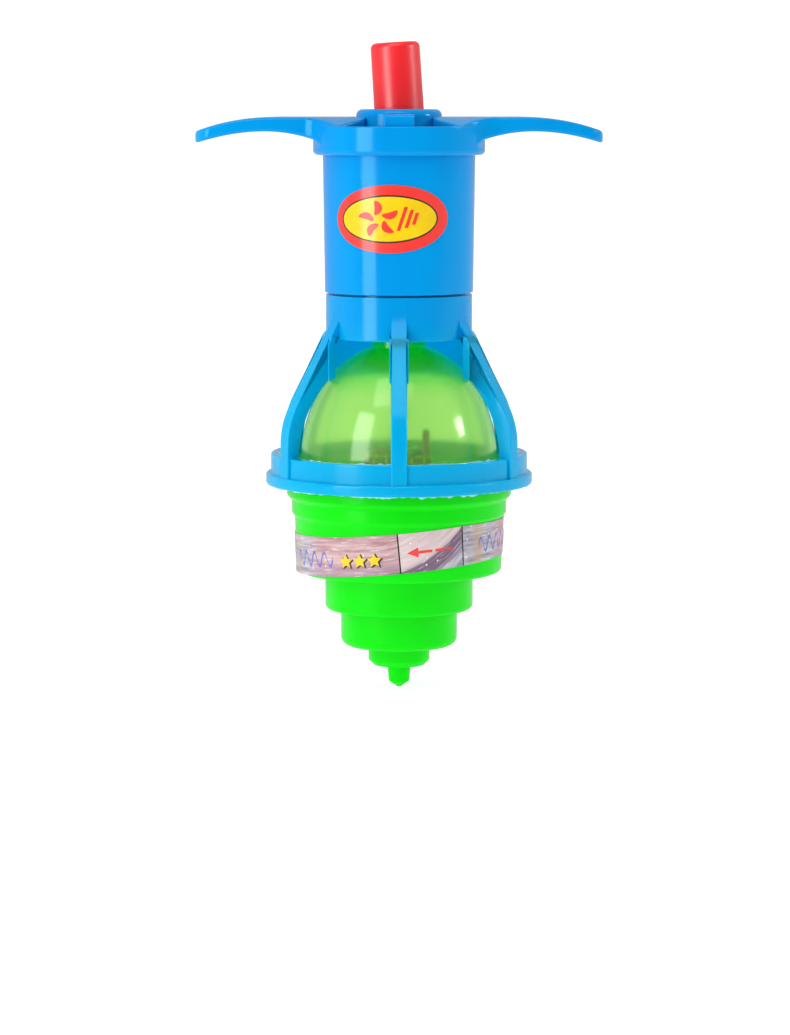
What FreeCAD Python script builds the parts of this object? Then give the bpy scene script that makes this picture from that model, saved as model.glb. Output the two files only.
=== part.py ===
"""Light-up spinning top clipped into its ejection launcher.

Millimetres, +Z up.  The origin is the point of the top's tip, on the common axis of
launcher and top.  The two finger wings lie along +X and -X, and -Y is the front, the
side with the oval sticker.
"""
import FreeCAD, Part
import math
import os
from FreeCAD import Vector

# ---------------------------------------------------------------- driving dimensions
OVERALL_HEIGHT = 100.0

# thumb plunger
PLUNGER_R = 3.8
PLUNGER_EDGE = 0.8
PLUNGER_LEAN_DEG = 3.6
PLUNGER_BORE_R = 2.5
PLUNGER_FLANGE_R = 5.6
PLUNGER_FLANGE_T = 1.9
PLUNGER_BOTTOM_Z = 81.62

# cap with the finger wings
HUB_TOP_Z = 89.6
HUB_R = 6.6
HUB_TOP_R = 5.64
HUB_BORE_R = 4.55
HUB_BOTTOM_Z = 84.2
SPOKE_BOTTOM_Z = 85.2
COLLAR_R = 13.22
COLLAR_BOTTOM_Z = 82.6
COLLAR_TOP_Z = 87.0
COLLAR_BORE_R = 11.76
WINDOW_RIM_R = 11.9
TAB_HALF_W = 2.3
TAB_Y_IN = 5.6
TAB_Y_OUT = 12.3
TAB_TOP_Z = 88.8
WING_TIP_X = 31.3
WING_TIP_HALF_W = 3.4
WING_HALF_W = 4.2
WING_ROOT_X = 9.4
WING_ROOT_HALF_W = 9.2
WING_TOP_Z = 88.35

# barrel
BARREL_TOP_R = 11.72
BARREL_BOTTOM_R = 11.41
BARREL_TOP_Z = 86.0
BARREL_BOTTOM_Z = 61.45
BARREL_WALL = 1.05
FLOOR_Z0 = 64.2
FLOOR_Z1 = 65.6
GUIDE_TOP_Z = 68.4
GUIDE_R = 4.6

# cage
SLEEVE_R = 11.27
SLEEVE_BORE_R = 10.15
SLEEVE_BOTTOM_Z = 54.5
SLEEVE_TOP_Z = 61.2
SPIGOT_R = 10.2
SPIGOT_BORE_R = 9.3
SPIGOT_TOP_Z = 64.0
FIN_COUNT = 6
FIN_W = 2.4
FIN_PAD_W = 2.9
RING_R = 19.81
RING_BORE_R = 18.2
RING_TOP_Z = 36.7
FLANGE_R = 20.58
FLANGE_Z0 = 32.0
FLANGE_Z1 = 33.7
BACK_WALL_R = 11.75
BACK_WALL_BORE_R = 11.12
BACK_WALL_Z0 = 48.45
BACK_WALL_OPENING_DEG = 124.0

# rotor, spring and carrier
SHAFT_R = 2.6
SHAFT_HOLE_R = 2.9
ROTOR_DISC_R = 8.6
ROTOR_DISC_Z0 = 60.4
ROTOR_DISC_Z1 = 62.0
ROTOR_STEM_R = 3.4
KEY_TOP_Z = 57.4
KEY_BOTTOM_Z = 54.6
KEY_ACROSS_FLATS = 4.4
TOOTH_COUNT = 12
TOOTH_H = 1.0
TOOTH_L = 2.6
TOOTH_R0 = 5.4
TOOTH_R1 = 8.4
CARRIER_Z0 = 79.6
CARRIER_Z1 = 81.0
CARRIER_R = 8.4
CARRIER_BOSS_R = 5.8
CARRIER_BOSS_Z0 = 77.6
SCREW_HEAD_R = 1.9
SCREW_HEAD_H = 0.35
SCREW_SHANK_R = 0.72
SCREW_LENGTH = 6.0
SPRING_WIRE_R = 0.4
SPRING_R = 6.8
SPRING_TURNS = 8.5

# the top's shell
TIP_R = 1.84
TIP_BALL_R = 0.75
TIP_CONE_TOP_Z = 0.95
CYLINDER_LOW_R = 15.88
CYLINDER_LOW_Z = 18.9
CYLINDER_TOP_R = 16.14
CYLINDER_TOP_Z = 26.85
BODY_RIM_R = 17.36
BODY_RIM_TOP_Z = 34.5
BODY_LEDGE_Z = 32.6
DOME_R = 15.2
DOME_BASE_Z = 35.6
DOME_APEX_Z = 53.8
DOME_WALL = 0.8
DOME_FLANGE_R = 17.3
DOME_SEAT_R = 15.9
CROWN_R = 4.2
CROWN_TOP_Z = 57.0
SOCKET_FLOOR_Z = 54.2
SOCKET_CLEAR = 0.08

# electronics
CELL_R = 3.95
CELL_H = 3.6
CELL_COUNT = 3
CELL_STACK_Z = 21.95
HOLDER_BORE_R = 4.1
HOLDER_R = 5.3
HOLDER_FLOOR_Z = 20.5
HOLDER_PLATE_R = 15.9
HOLDER_PLATE_T = 1.0
HOLDER_TOP_Z = 34.6
PCB_X0 = -5.3
PCB_X1 = 4.9
PCB_HALF_D = 4.6
PCB_Z0 = 35.3
PCB_T = 0.9
PCB_EAR_R = 1.7
PCB_SCREW_HEAD_R = 1.3
PCB_SCREW_HEAD_H = 0.7
PCB_SCREW_R = 0.5
PCB_SCREW_LENGTH = 3.2
STRIP_T = 0.25
SWITCH_X = 4.15
SWITCH_Y = -1.6
SWITCH_H = 4.0
SWITCH_PIN_R = 0.16
SWITCH_WIRE_R = 0.16
SWITCH_COIL_R = 0.4
SWITCH_PITCH = 0.36

# stickers
STICKER_T = 0.12
OVAL_HEIGHT = 10.3
OVAL_ARC = 18.6
OVAL_Z = 73.1
OVAL_TURN_DEG = -7.0
OVAL_TILT_DEG = -1.0
LABEL_H = 6.05
LABEL_MID_Z = 22.8
LABEL_RISE = 1.45
LABEL_TURN_DEG = -5.0
LABEL_SKIN_Z0 = 17.9
LABEL_SKIN_Z1 = 26.84

SEGMENT_CLEAR = 0.05


# ---------------------------------------------------------------- shape helpers
def wire_of(start, steps, to_point):
    """Closed wire through the steps: (a, b) is a line, ((a, b), (c, d)) an arc through a, b."""
    edges = []
    here = start
    for step in list(steps) + [start]:
        if isinstance(step[0], tuple):
            middle, end = step
            arc = Part.Arc(to_point(*here), to_point(*middle), to_point(*end))
            edges.append(arc.toShape())
        else:
            end = step
            if end != here:
                edges.append(Part.makeLine(to_point(*here), to_point(*end)))
        here = end
    return Part.Wire(edges)


def in_xz(a, b):
    return Vector(a, 0, b)


def in_xy(a, b):
    return Vector(a, b, 0)


def in_yz(a, b):
    return Vector(0, a, b)


def turned(start, *steps):
    """Solid of revolution about Z from an outline of (radius, height) points."""
    face = Part.Face(wire_of(start, steps, in_xz))
    return face.revolve(Vector(0, 0, 0), Vector(0, 0, 1), 360)


def tube(r_out, z0, z1, r_in=0.0):
    """Straight cylinder or tube on the main axis."""
    solid = Part.makeCylinder(r_out, z1 - z0, Vector(0, 0, z0))
    if r_in > 0:
        solid = solid.cut(Part.makeCylinder(r_in, z1 - z0 + 2, Vector(0, 0, z0 - 1)))
    return solid


def post(x, y, r, z0, z1):
    """Upright cylinder off the main axis."""
    return Part.makeCylinder(r, z1 - z0, Vector(x, y, z0))


def block(x0, x1, y0, y1, z0, z1):
    return Part.makeBox(x1 - x0, y1 - y0, z1 - z0, Vector(x0, y0, z0))


def spun(shape, degrees):
    """Copy of a shape, turned about the main axis."""
    copy = shape.copy()
    copy.rotate(Vector(0, 0, 0), Vector(0, 0, 1), degrees)
    return copy


def joined(shapes):
    first, rest = shapes[0], shapes[1:]
    return first.fuse(rest).removeSplitter() if rest else first


def hexagon(across_flats, z0, z1):
    """Hexagonal bar on the main axis."""
    corner = across_flats / math.sqrt(3)
    corners = []
    for index in range(7):
        angle = math.radians(60 * index)
        corners.append(Vector(corner * math.cos(angle), corner * math.sin(angle), z0))
    face = Part.Face(Part.makePolygon(corners))
    return face.extrude(Vector(0, 0, z1 - z0))


def sector(r_out, z0, z1, from_deg, sweep_deg):
    """Pie slice about the main axis; 0 degrees is +X."""
    slice_ = Part.makeCylinder(r_out, z1 - z0, Vector(0, 0, z0), Vector(0, 0, 1), sweep_deg)
    return spun(slice_, from_deg)


def dome_arc(r_base, apex_z, r_from, r_to):
    """Quarter-ellipse edge of the dome's wall, between two radii."""
    centre = Vector(0, 0, DOME_BASE_Z)
    ellipse = Part.Ellipse(Vector(0, 0, apex_z), Vector(r_base, 0, DOME_BASE_Z), centre)
    ends = sorted((math.asin(r_from / r_base), math.asin(r_to / r_base)))
    return Part.ArcOfEllipse(ellipse, ends[0], ends[1]).toShape()


def dome_height(r, r_base, apex_z):
    """Height of the dome's wall at a radius."""
    return DOME_BASE_Z + (apex_z - DOME_BASE_Z) * math.sqrt(1 - (r / r_base) ** 2)


# ---------------------------------------------------------------- launcher
def wing_plan(side):
    """Plan outline of one wing, from inside the hub out to the rounded tip."""
    s = side
    return Part.Face(wire_of(
        (s * 4.6, -4.4),
        [
            (s * WING_ROOT_X, -WING_ROOT_HALF_W),
            ((s * 11.7, -6.2), (s * 15.6, -WING_HALF_W - 0.2)),
            ((s * 22.0, -WING_HALF_W + 0.35), (s * (WING_TIP_X - 2.6), -WING_TIP_HALF_W)),
            ((s * WING_TIP_X, 0.0), (s * (WING_TIP_X - 2.6), WING_TIP_HALF_W)),
            ((s * 22.0, WING_HALF_W - 0.35), (s * 15.6, WING_HALF_W + 0.2)),
            ((s * 11.7, 6.2), (s * WING_ROOT_X, WING_ROOT_HALF_W)),
            (s * 4.6, 4.4),
        ],
        in_xy))


def wing_profile(side):
    """Side outline of one wing: flat at the hub, arched down to the tip, gusset below."""
    s = side
    return Part.Face(wire_of(
        (s * 4.6, WING_TOP_Z),
        [
            (s * 17.4, WING_TOP_Z),
            ((s * 25.0, 87.85), (s * (WING_TIP_X + 0.05), 86.05)),
            (s * (WING_TIP_X + 0.05), 84.35),
            ((s * 26.6, 85.65), (s * 20.6, 86.2)),
            ((s * 16.6, 85.85), (s * 13.0, 84.95)),
            (s * 10.4, 82.9),
            (s * 4.6, 82.9),
        ],
        in_xz))


def wing_section():
    """Cross outline of a wing: level in the middle, falling away to the flared root."""
    slope_start = 4.0
    edge = WING_ROOT_HALF_W + 0.6
    edge_top = COLLAR_TOP_Z - 0.15
    return Part.Face(wire_of(
        (-edge, COLLAR_BOTTOM_Z - 1),
        [
            (-edge, edge_top),
            (-slope_start, WING_TOP_Z),
            ((0, WING_TOP_Z + 0.12), (slope_start, WING_TOP_Z)),
            (edge, edge_top),
            (edge, COLLAR_BOTTOM_Z - 1),
        ],
        in_yz))


def wing(side):
    """One finger wing: its plan, side and cross outlines, each made deep and intersected."""
    plan = wing_plan(side).extrude(Vector(0, 0, 10))
    plan.translate(Vector(0, 0, 81))
    profile = wing_profile(side).extrude(Vector(0, 24, 0))
    profile.translate(Vector(0, -12, 0))
    section = wing_section().extrude(Vector(side * 40, 0, 0))
    return plan.common(profile).common(section)


def make_wing_cap():
    """Cap pressed on the barrel: collar, hub, two tabs and the two finger wings."""
    collar = turned(
        (COLLAR_BORE_R, COLLAR_BOTTOM_Z),
        (COLLAR_R - 0.8, COLLAR_BOTTOM_Z),
        ((COLLAR_R - 0.22, COLLAR_BOTTOM_Z + 0.22), (COLLAR_R, COLLAR_BOTTOM_Z + 0.8)),
        (COLLAR_R, COLLAR_TOP_Z - 0.25),
        (COLLAR_R - 0.25, COLLAR_TOP_Z),
        (WINDOW_RIM_R, COLLAR_TOP_Z),
        (WINDOW_RIM_R - 0.8, COLLAR_TOP_Z - 0.3),
        (WINDOW_RIM_R - 0.8, BARREL_TOP_Z),
        (COLLAR_BORE_R, BARREL_TOP_Z))
    hub = turned(
        (HUB_BORE_R, HUB_BOTTOM_Z),
        (HUB_R, HUB_BOTTOM_Z),
        (HUB_R, HUB_TOP_Z - 1.25),
        ((HUB_R - 0.28, HUB_TOP_Z - 0.38), (HUB_TOP_R, HUB_TOP_Z)),
        (HUB_BORE_R + 0.2, HUB_TOP_Z),
        (HUB_BORE_R, HUB_TOP_Z - 0.2))
    tabs = []
    for side in (-1, 1):
        y_low, y_high = sorted((side * TAB_Y_IN, side * TAB_Y_OUT))
        tabs.append(block(-TAB_HALF_W, TAB_HALF_W, y_low, y_high, SPOKE_BOTTOM_Z, TAB_TOP_Z))
    wings = [wing(1), wing(-1)]
    barrel_space = tube(COLLAR_BORE_R, COLLAR_BOTTOM_Z - 2, BARREL_TOP_Z)
    below_spokes = tube(COLLAR_BORE_R, COLLAR_BOTTOM_Z - 2, SPOKE_BOTTOM_Z)
    solid = joined([collar] + tabs + [wing_.cut(below_spokes) for wing_ in wings])
    ring_space = barrel_space.cut(tube(BARREL_TOP_R - BARREL_WALL - 0.5, 80, BARREL_TOP_Z + 1))
    solid = solid.cut(ring_space)
    solid = joined([solid, hub])
    return solid.cut(tube(HUB_BORE_R, COLLAR_BOTTOM_Z, HUB_TOP_Z - 0.2))


def barrel_radius(z):
    """Outer radius of the drafted barrel."""
    part = (z - BARREL_BOTTOM_Z) / (COLLAR_BOTTOM_Z - BARREL_BOTTOM_Z)
    return BARREL_BOTTOM_R + (BARREL_TOP_R - BARREL_BOTTOM_R) * min(1.0, part)


def ratchet_teeth(z0, face_up):
    """Ring of saw teeth on a disc face, each a ramp that ends in an upright wall."""
    sign = 1 if face_up else -1
    half = TOOTH_L / 2
    ramp = Part.Face(Part.makePolygon([
        Vector(TOOTH_R0, -half * sign, z0 - sign * 0.1),
        Vector(TOOTH_R0, half * sign, z0 - sign * 0.1),
        Vector(TOOTH_R0, half * sign, z0 + sign * TOOTH_H),
        Vector(TOOTH_R0, -half * sign, z0 - sign * 0.1)]))
    tooth = ramp.extrude(Vector(TOOTH_R1 - TOOTH_R0, 0, 0))
    return [spun(tooth, index * 360 / TOOTH_COUNT) for index in range(TOOTH_COUNT)]


def make_barrel():
    """Tube that holds the spring, with a cross floor, a shaft guide and ratchet teeth."""
    r_in_top = BARREL_TOP_R - BARREL_WALL
    r_in_low = SPIGOT_R + SEGMENT_CLEAR
    shell = turned(
        (r_in_low, BARREL_BOTTOM_Z),
        (BARREL_BOTTOM_R, BARREL_BOTTOM_Z),
        (BARREL_TOP_R, COLLAR_BOTTOM_Z),
        (BARREL_TOP_R, BARREL_TOP_Z),
        (r_in_top, BARREL_TOP_Z),
        (r_in_low, FLOOR_Z1),
        (GUIDE_R, FLOOR_Z1),
        (GUIDE_R, GUIDE_TOP_Z),
        (SHAFT_HOLE_R, GUIDE_TOP_Z),
        (SHAFT_HOLE_R, FLOOR_Z0),
        (r_in_low, FLOOR_Z0))
    return joined([shell] + ratchet_teeth(FLOOR_Z0, face_up=False))


def fin_profile():
    """Outline of one fin in (radius, height)."""
    return wire_of(
        (10.9, 58.15),
        [
            (19.0, 44.1),
            ((19.85, 41.2), (20.2, 38.0)),
            (20.2, FLANGE_Z1 - 0.5),
            (18.6, FLANGE_Z1 - 0.5),
            (18.2, 36.9),
            ((16.55, 43.6), (12.8, 48.6)),
            (12.8, SLEEVE_BOTTOM_Z + 0.05),
            (10.9, SLEEVE_BOTTOM_Z + 0.3),
        ],
        in_xz)


def fin_pad_profile():
    """Outline of the thicker root pad behind each fin."""
    return wire_of(
        (12.0, SLEEVE_BOTTOM_Z + 0.6),
        [(12.0, 48.6), (13.2, 48.4), (13.2, SLEEVE_BOTTOM_Z - 0.4), (12.6, SLEEVE_BOTTOM_Z + 0.6)],
        in_xz)


def plate_from(wire, thickness):
    """Flat plate of a thickness, centred on the XZ plane."""
    plate = Part.Face(wire).extrude(Vector(0, thickness, 0))
    plate.translate(Vector(0, -thickness / 2, 0))
    return plate


def make_cage():
    """Sleeve, six fins and the guard ring that steady the top until it is released."""
    sleeve = turned(
        (SLEEVE_BORE_R, SLEEVE_BOTTOM_Z),
        (SLEEVE_R - 0.15, SLEEVE_BOTTOM_Z),
        (SLEEVE_R, SLEEVE_BOTTOM_Z + 0.15),
        (SLEEVE_R, SLEEVE_TOP_Z),
        (SPIGOT_R, SLEEVE_TOP_Z),
        (SPIGOT_R, SPIGOT_TOP_Z),
        (SPIGOT_BORE_R, SPIGOT_TOP_Z),
        (SPIGOT_BORE_R, SLEEVE_TOP_Z - 1.4),
        (SLEEVE_BORE_R, SLEEVE_TOP_Z - 2.0))
    ring = turned(
        (RING_BORE_R, FLANGE_Z0),
        (FLANGE_R - 0.25, FLANGE_Z0),
        (FLANGE_R, FLANGE_Z0 + 0.3),
        (FLANGE_R, FLANGE_Z1 - 0.55),
        ((FLANGE_R - 0.2, FLANGE_Z1 - 0.15), (RING_R, FLANGE_Z1)),
        (RING_R, RING_TOP_Z - 0.15),
        (RING_R - 0.15, RING_TOP_Z),
        (RING_BORE_R, RING_TOP_Z))
    fin = joined([plate_from(fin_profile(), FIN_W), plate_from(fin_pad_profile(), FIN_PAD_W)])
    fins = [spun(fin, -90 + index * 360 / FIN_COUNT) for index in range(FIN_COUNT)]
    opening = BACK_WALL_OPENING_DEG
    back_wall = sector(BACK_WALL_R, BACK_WALL_Z0, SLEEVE_BOTTOM_Z + 0.6,
                       -90 + opening / 2, 360 - opening)
    back_wall = back_wall.cut(tube(BACK_WALL_BORE_R, BACK_WALL_Z0 - 1, SLEEVE_BOTTOM_Z))
    back_wall = back_wall.cut(tube(SLEEVE_R - 0.3, SLEEVE_BOTTOM_Z - 0.1, SLEEVE_BOTTOM_Z + 2))
    shelf = tube(BACK_WALL_R, SLEEVE_BOTTOM_Z, SLEEVE_BOTTOM_Z + 0.6, SLEEVE_R - 0.3)
    shelf = shelf.common(sector(20, 50, 60, -90 + opening / 2, 360 - opening))
    webs = [spun(block(11.3, 13.0, -FIN_W / 2, FIN_W / 2, BACK_WALL_Z0, SLEEVE_BOTTOM_Z), angle)
            for angle in (30, 90, 150)]
    return joined([sleeve, ring, back_wall, shelf] + webs + fins)


def tilted(shape):
    """The plunger's lean, about the middle of the hub's top face."""
    copy = shape.copy()
    copy.rotate(Vector(0, 0, HUB_TOP_Z), Vector(0, 1, 0), -PLUNGER_LEAN_DEG)
    return copy


def make_plunger():
    """Hollow thumb plunger with the flange that keeps it under the hub."""
    length = (OVERALL_HEIGHT - HUB_TOP_Z) / math.cos(math.radians(PLUNGER_LEAN_DEG))
    lean_rise = (PLUNGER_R - PLUNGER_EDGE + 0.14) * math.tan(math.radians(PLUNGER_LEAN_DEG))
    top_z = HUB_TOP_Z + length - lean_rise
    flange_top_z = PLUNGER_BOTTOM_Z + PLUNGER_FLANGE_T
    edge = PLUNGER_EDGE
    return tilted(turned(
        (PLUNGER_BORE_R, PLUNGER_BOTTOM_Z),
        (PLUNGER_FLANGE_R, PLUNGER_BOTTOM_Z),
        (PLUNGER_FLANGE_R, flange_top_z),
        (PLUNGER_R + 0.04, flange_top_z),
        (PLUNGER_R - 0.04, top_z - edge),
        ((PLUNGER_R - edge * 0.3, top_z - edge * 0.3), (PLUNGER_R - edge, top_z)),
        (0, top_z),
        (0, top_z - 2.0),
        (PLUNGER_BORE_R, top_z - 2.6)))


def make_rotor():
    """Ratchet disc with its shaft up into the barrel and its hexagonal drive key below."""
    disc = turned(
        (0, KEY_TOP_Z),
        (ROTOR_STEM_R, KEY_TOP_Z),
        (ROTOR_STEM_R, ROTOR_DISC_Z0),
        (ROTOR_DISC_R - 0.3, ROTOR_DISC_Z0),
        (ROTOR_DISC_R, ROTOR_DISC_Z0 + 0.3),
        (ROTOR_DISC_R, ROTOR_DISC_Z1),
        (SHAFT_R, ROTOR_DISC_Z1),
        (SHAFT_R, CARRIER_Z0 + 0.4),
        (0, CARRIER_Z0 + 0.4))
    key = hexagon(KEY_ACROSS_FLATS, KEY_BOTTOM_Z, KEY_TOP_Z + 0.1)
    teeth = ratchet_teeth(ROTOR_DISC_Z1, face_up=True)
    screw_hole = tube(SCREW_SHANK_R + 0.03, CARRIER_Z0 - 7.0, CARRIER_Z0 + 1)
    return joined([disc, key] + teeth).cut(screw_hole)


def make_spring_carrier():
    """Flanged cup on the shaft's upper end, which the spring bears against."""
    return turned(
        (SHAFT_R + 0.02, CARRIER_BOSS_Z0),
        (CARRIER_BOSS_R, CARRIER_BOSS_Z0),
        (CARRIER_BOSS_R, CARRIER_Z0),
        (CARRIER_R, CARRIER_Z0),
        (CARRIER_R, CARRIER_Z1 - 0.3),
        (CARRIER_R - 0.3, CARRIER_Z1),
        (SCREW_HEAD_R + 0.3, CARRIER_Z1),
        (SCREW_HEAD_R + 0.3, CARRIER_Z0 + 0.8),
        (0.95, CARRIER_Z0 + 0.8),
        (0.95, CARRIER_Z0 + 0.42),
        (SHAFT_R + 0.02, CARRIER_Z0 + 0.42))


def pan_screw(x, y, head_z, head_r, head_h, shank_r, shank_l):
    """Pan-head screw with a cross recess; head_z is the underside of the head."""
    solid = turned(
        (0, head_z - shank_l),
        (shank_r * 0.4, head_z - shank_l),
        (shank_r, head_z - shank_l + shank_r),
        (shank_r, head_z),
        (head_r, head_z),
        (head_r, head_z + head_h * 0.4),
        ((head_r * 0.8, head_z + head_h * 0.85), (head_r * 0.4, head_z + head_h)),
        (0, head_z + head_h))
    slot_w = head_r * 0.22
    slot_l = head_r * 0.6
    slot_z = head_z + head_h * 0.5
    for half_x, half_y in ((slot_l, slot_w), (slot_w, slot_l)):
        solid = solid.cut(block(-half_x, half_x, -half_y, half_y, slot_z, head_z + head_h + 1))
    solid.translate(Vector(x, y, 0))
    return solid


def make_carrier_screw():
    head_z = CARRIER_Z0 + 0.82
    return pan_screw(0, 0, head_z, SCREW_HEAD_R, SCREW_HEAD_H, SCREW_SHANK_R, SCREW_LENGTH)


def make_main_spring():
    """Coil that returns the plunger, and that winding twists to drive the rotor."""
    z0 = FLOOR_Z1 + SPRING_WIRE_R + 0.05
    z1 = CARRIER_Z0 - SPRING_WIRE_R - 0.1
    pitch = (z1 - z0) / SPRING_TURNS
    helix = Part.makeHelix(pitch, z1 - z0, SPRING_R)
    helix.translate(Vector(0, 0, z0))
    start = Vector(SPRING_R, 0, z0)
    direction = Vector(0, 2 * math.pi * SPRING_R, pitch)
    section = Part.Wire(Part.Circle(start, direction, SPRING_WIRE_R).toShape())
    return Part.Wire(helix.Edges).makePipeShell([section], True, True)


def make_oval_sticker():
    """Oval sticker on the barrel's front, following its drafted wall."""
    mid_r = barrel_radius(OVAL_Z)
    oval = Part.Ellipse(Vector(0, 0, 0), OVAL_ARC / 2 * 0.96, OVAL_HEIGHT / 2)
    face = Part.Face(Part.Wire(oval.toShape()))
    face.rotate(Vector(0, 0, 0), Vector(1, 0, 0), 90)
    face.rotate(Vector(0, 0, 0), Vector(0, 1, 0), OVAL_TILT_DEG)
    face.translate(Vector(0, 0, OVAL_Z))
    # the oval is cut wide on the flat and squeezed to the chord that its arc spans
    chord = mid_r * math.sin(OVAL_ARC / 2 / mid_r)
    squeeze = FreeCAD.Matrix()
    squeeze.A11 = chord / (OVAL_ARC / 2 * 0.96)
    face = face.transformGeometry(squeeze)
    prism = face.extrude(Vector(0, -2 * mid_r, 0))
    low_r = barrel_radius(BARREL_BOTTOM_Z)
    high_r = barrel_radius(COLLAR_BOTTOM_Z)
    skin = turned(
        (low_r, BARREL_BOTTOM_Z),
        (low_r + STICKER_T, BARREL_BOTTOM_Z),
        (high_r + STICKER_T, COLLAR_BOTTOM_Z),
        (high_r, COLLAR_BOTTOM_Z))
    return spun(prism.common(skin), OVAL_TURN_DEG)


# ---------------------------------------------------------------- the top
def tip_point(angle_deg):
    """Point on the ball end of the tip, by its angle from straight down."""
    angle = math.radians(angle_deg)
    return (TIP_BALL_R * math.sin(angle), TIP_BALL_R * (1 - math.cos(angle)))


def body_outline_outer():
    """Outer outline of the stepped shell, from the tip up to the rim."""
    return [
        (tip_point(20), tip_point(40)),
        (TIP_R - 0.3, TIP_CONE_TOP_Z - 0.1),
        ((TIP_R - 0.21, TIP_CONE_TOP_Z), (TIP_R - 0.18, TIP_CONE_TOP_Z + 0.2)),
        (TIP_R, 3.55),
        (3.95, 3.55),
        (4.75, 4.35),
        (4.75, 6.7),
        (7.9, 6.7),
        ((8.68, 7.1), (9.02, 7.9)),
        (9.02, 12.4),
        (10.9, 12.4),
        ((11.3, 12.55), (11.46, 12.95)),
        (11.46, 18.3),
        (15.3, 18.3),
        ((15.72, 18.45), (CYLINDER_LOW_R, CYLINDER_LOW_Z)),
        (CYLINDER_TOP_R, CYLINDER_TOP_Z),
        (16.6, 27.5),
        (16.6, 29.4),
        (16.75, 29.55),
        ((17.2, 30.0), (BODY_RIM_R, 30.7)),
        (BODY_RIM_R, BODY_RIM_TOP_Z),
    ]


def make_top_body():
    """Stepped conical shell of the top, open above, with a ledge for the holder."""
    inner = [
        (16.1, BODY_RIM_TOP_Z),
        (16.1, BODY_LEDGE_Z),
        (15.4, BODY_LEDGE_Z),
        (15.4, 28.0),
        (15.1, 27.4),
        (14.9, 19.35),
        (10.45, 19.3),
        (10.45, 13.45),
        (8.0, 13.4),
        (8.0, 7.75),
        (3.75, 7.7),
        (3.75, 4.7),
        (0, 4.7),
    ]
    return turned((0, 0), *(body_outline_outer() + inner))


def make_wrap_label():
    """Printed strip stuck round the widest cylinder, a little askew."""
    low_r = label_radius(LABEL_SKIN_Z0)
    high_r = label_radius(LABEL_SKIN_Z1)
    skin = turned(
        (low_r, LABEL_SKIN_Z0),
        (low_r + STICKER_T, LABEL_SKIN_Z0),
        (high_r + STICKER_T, LABEL_SKIN_Z1),
        (high_r, LABEL_SKIN_Z1))
    slab = block(-30, 30, -30, 30, -LABEL_H / 2, LABEL_H / 2)
    slope = math.degrees(math.atan2(LABEL_RISE, CYLINDER_LOW_R))
    slab.rotate(Vector(0, 0, 0), Vector(0, 1, 0), -slope)
    slab.rotate(Vector(0, 0, 0), Vector(0, 0, 1), LABEL_TURN_DEG)
    slab.translate(Vector(0, 0, LABEL_MID_Z))
    return skin.common(slab)


def label_radius(z):
    """Outer radius of the drafted cylinder that the label lies on."""
    part = (z - CYLINDER_LOW_Z) / (CYLINDER_TOP_Z - CYLINDER_LOW_Z)
    return CYLINDER_LOW_R + (CYLINDER_TOP_R - CYLINDER_LOW_R) * part


def make_dome():
    """Clear dome with its seating flange and the crown socket that the rotor drives."""
    r_in = DOME_R - DOME_WALL
    apex_in = DOME_APEX_Z - DOME_WALL
    seat_z = BODY_RIM_TOP_Z + 0.02
    lip_z = BODY_RIM_TOP_Z - 0.6
    crown_z = dome_height(CROWN_R, DOME_R, DOME_APEX_Z)
    corners = [
        (0, apex_in), (0, CROWN_TOP_Z), (CROWN_R, CROWN_TOP_Z), (CROWN_R, crown_z), None,
        (DOME_R, DOME_BASE_Z), (DOME_FLANGE_R, DOME_BASE_Z), (DOME_FLANGE_R, seat_z),
        (DOME_SEAT_R, seat_z), (DOME_SEAT_R, lip_z), (r_in, lip_z), (r_in, DOME_BASE_Z)]
    edges = [
        dome_arc(DOME_R, DOME_APEX_Z, CROWN_R, DOME_R),
        dome_arc(r_in, apex_in, 0, r_in)]
    for here, there in zip(corners, corners[1:]):
        if here and there:
            edges.append(Part.makeLine(in_xz(*here), in_xz(*there)))
    outline = Part.Wire(Part.sortEdges(edges)[0])
    solid = Part.Face(outline).revolve(Vector(0, 0, 0), Vector(0, 0, 1), 360)
    return solid.cut(hexagon(KEY_ACROSS_FLATS + 2 * SOCKET_CLEAR, SOCKET_FLOOR_Z, CROWN_TOP_Z + 1))


def make_battery_holder():
    """Plate on the body's ledge with the cell tube below and two standoffs above."""
    plate_z0 = BODY_LEDGE_Z + 0.02
    plate_z1 = plate_z0 + HOLDER_PLATE_T
    holder = turned(
        (0, HOLDER_FLOOR_Z),
        (HOLDER_R, HOLDER_FLOOR_Z),
        (HOLDER_R, plate_z0),
        (HOLDER_PLATE_R, plate_z0),
        (HOLDER_PLATE_R, plate_z1),
        (HOLDER_R, plate_z1),
        (HOLDER_R, HOLDER_TOP_Z),
        (HOLDER_BORE_R, HOLDER_TOP_Z),
        (HOLDER_BORE_R, HOLDER_FLOOR_Z + 1.0),
        (0, HOLDER_FLOOR_Z + 1.0))
    standoffs = [post(x, y, 1.5, plate_z0 + 0.2, PCB_Z0 - 0.02) for x, y in screw_places()]
    solid = joined([holder] + standoffs)
    for x, y in screw_places():
        solid = solid.cut(post(x, y, PCB_SCREW_R, PCB_Z0 - 3.4, PCB_Z0 + 1))
    slot = block(-HOLDER_R - 1, -HOLDER_BORE_R + 0.6, -1.3, 1.3, HOLDER_FLOOR_Z + 1.0, PCB_Z0)
    return solid.cut(slot)


def screw_places():
    """Places of the two board screws, in opposite corners of the board."""
    return [(-3.6, 5.9), (3.4, 5.9)]


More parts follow.
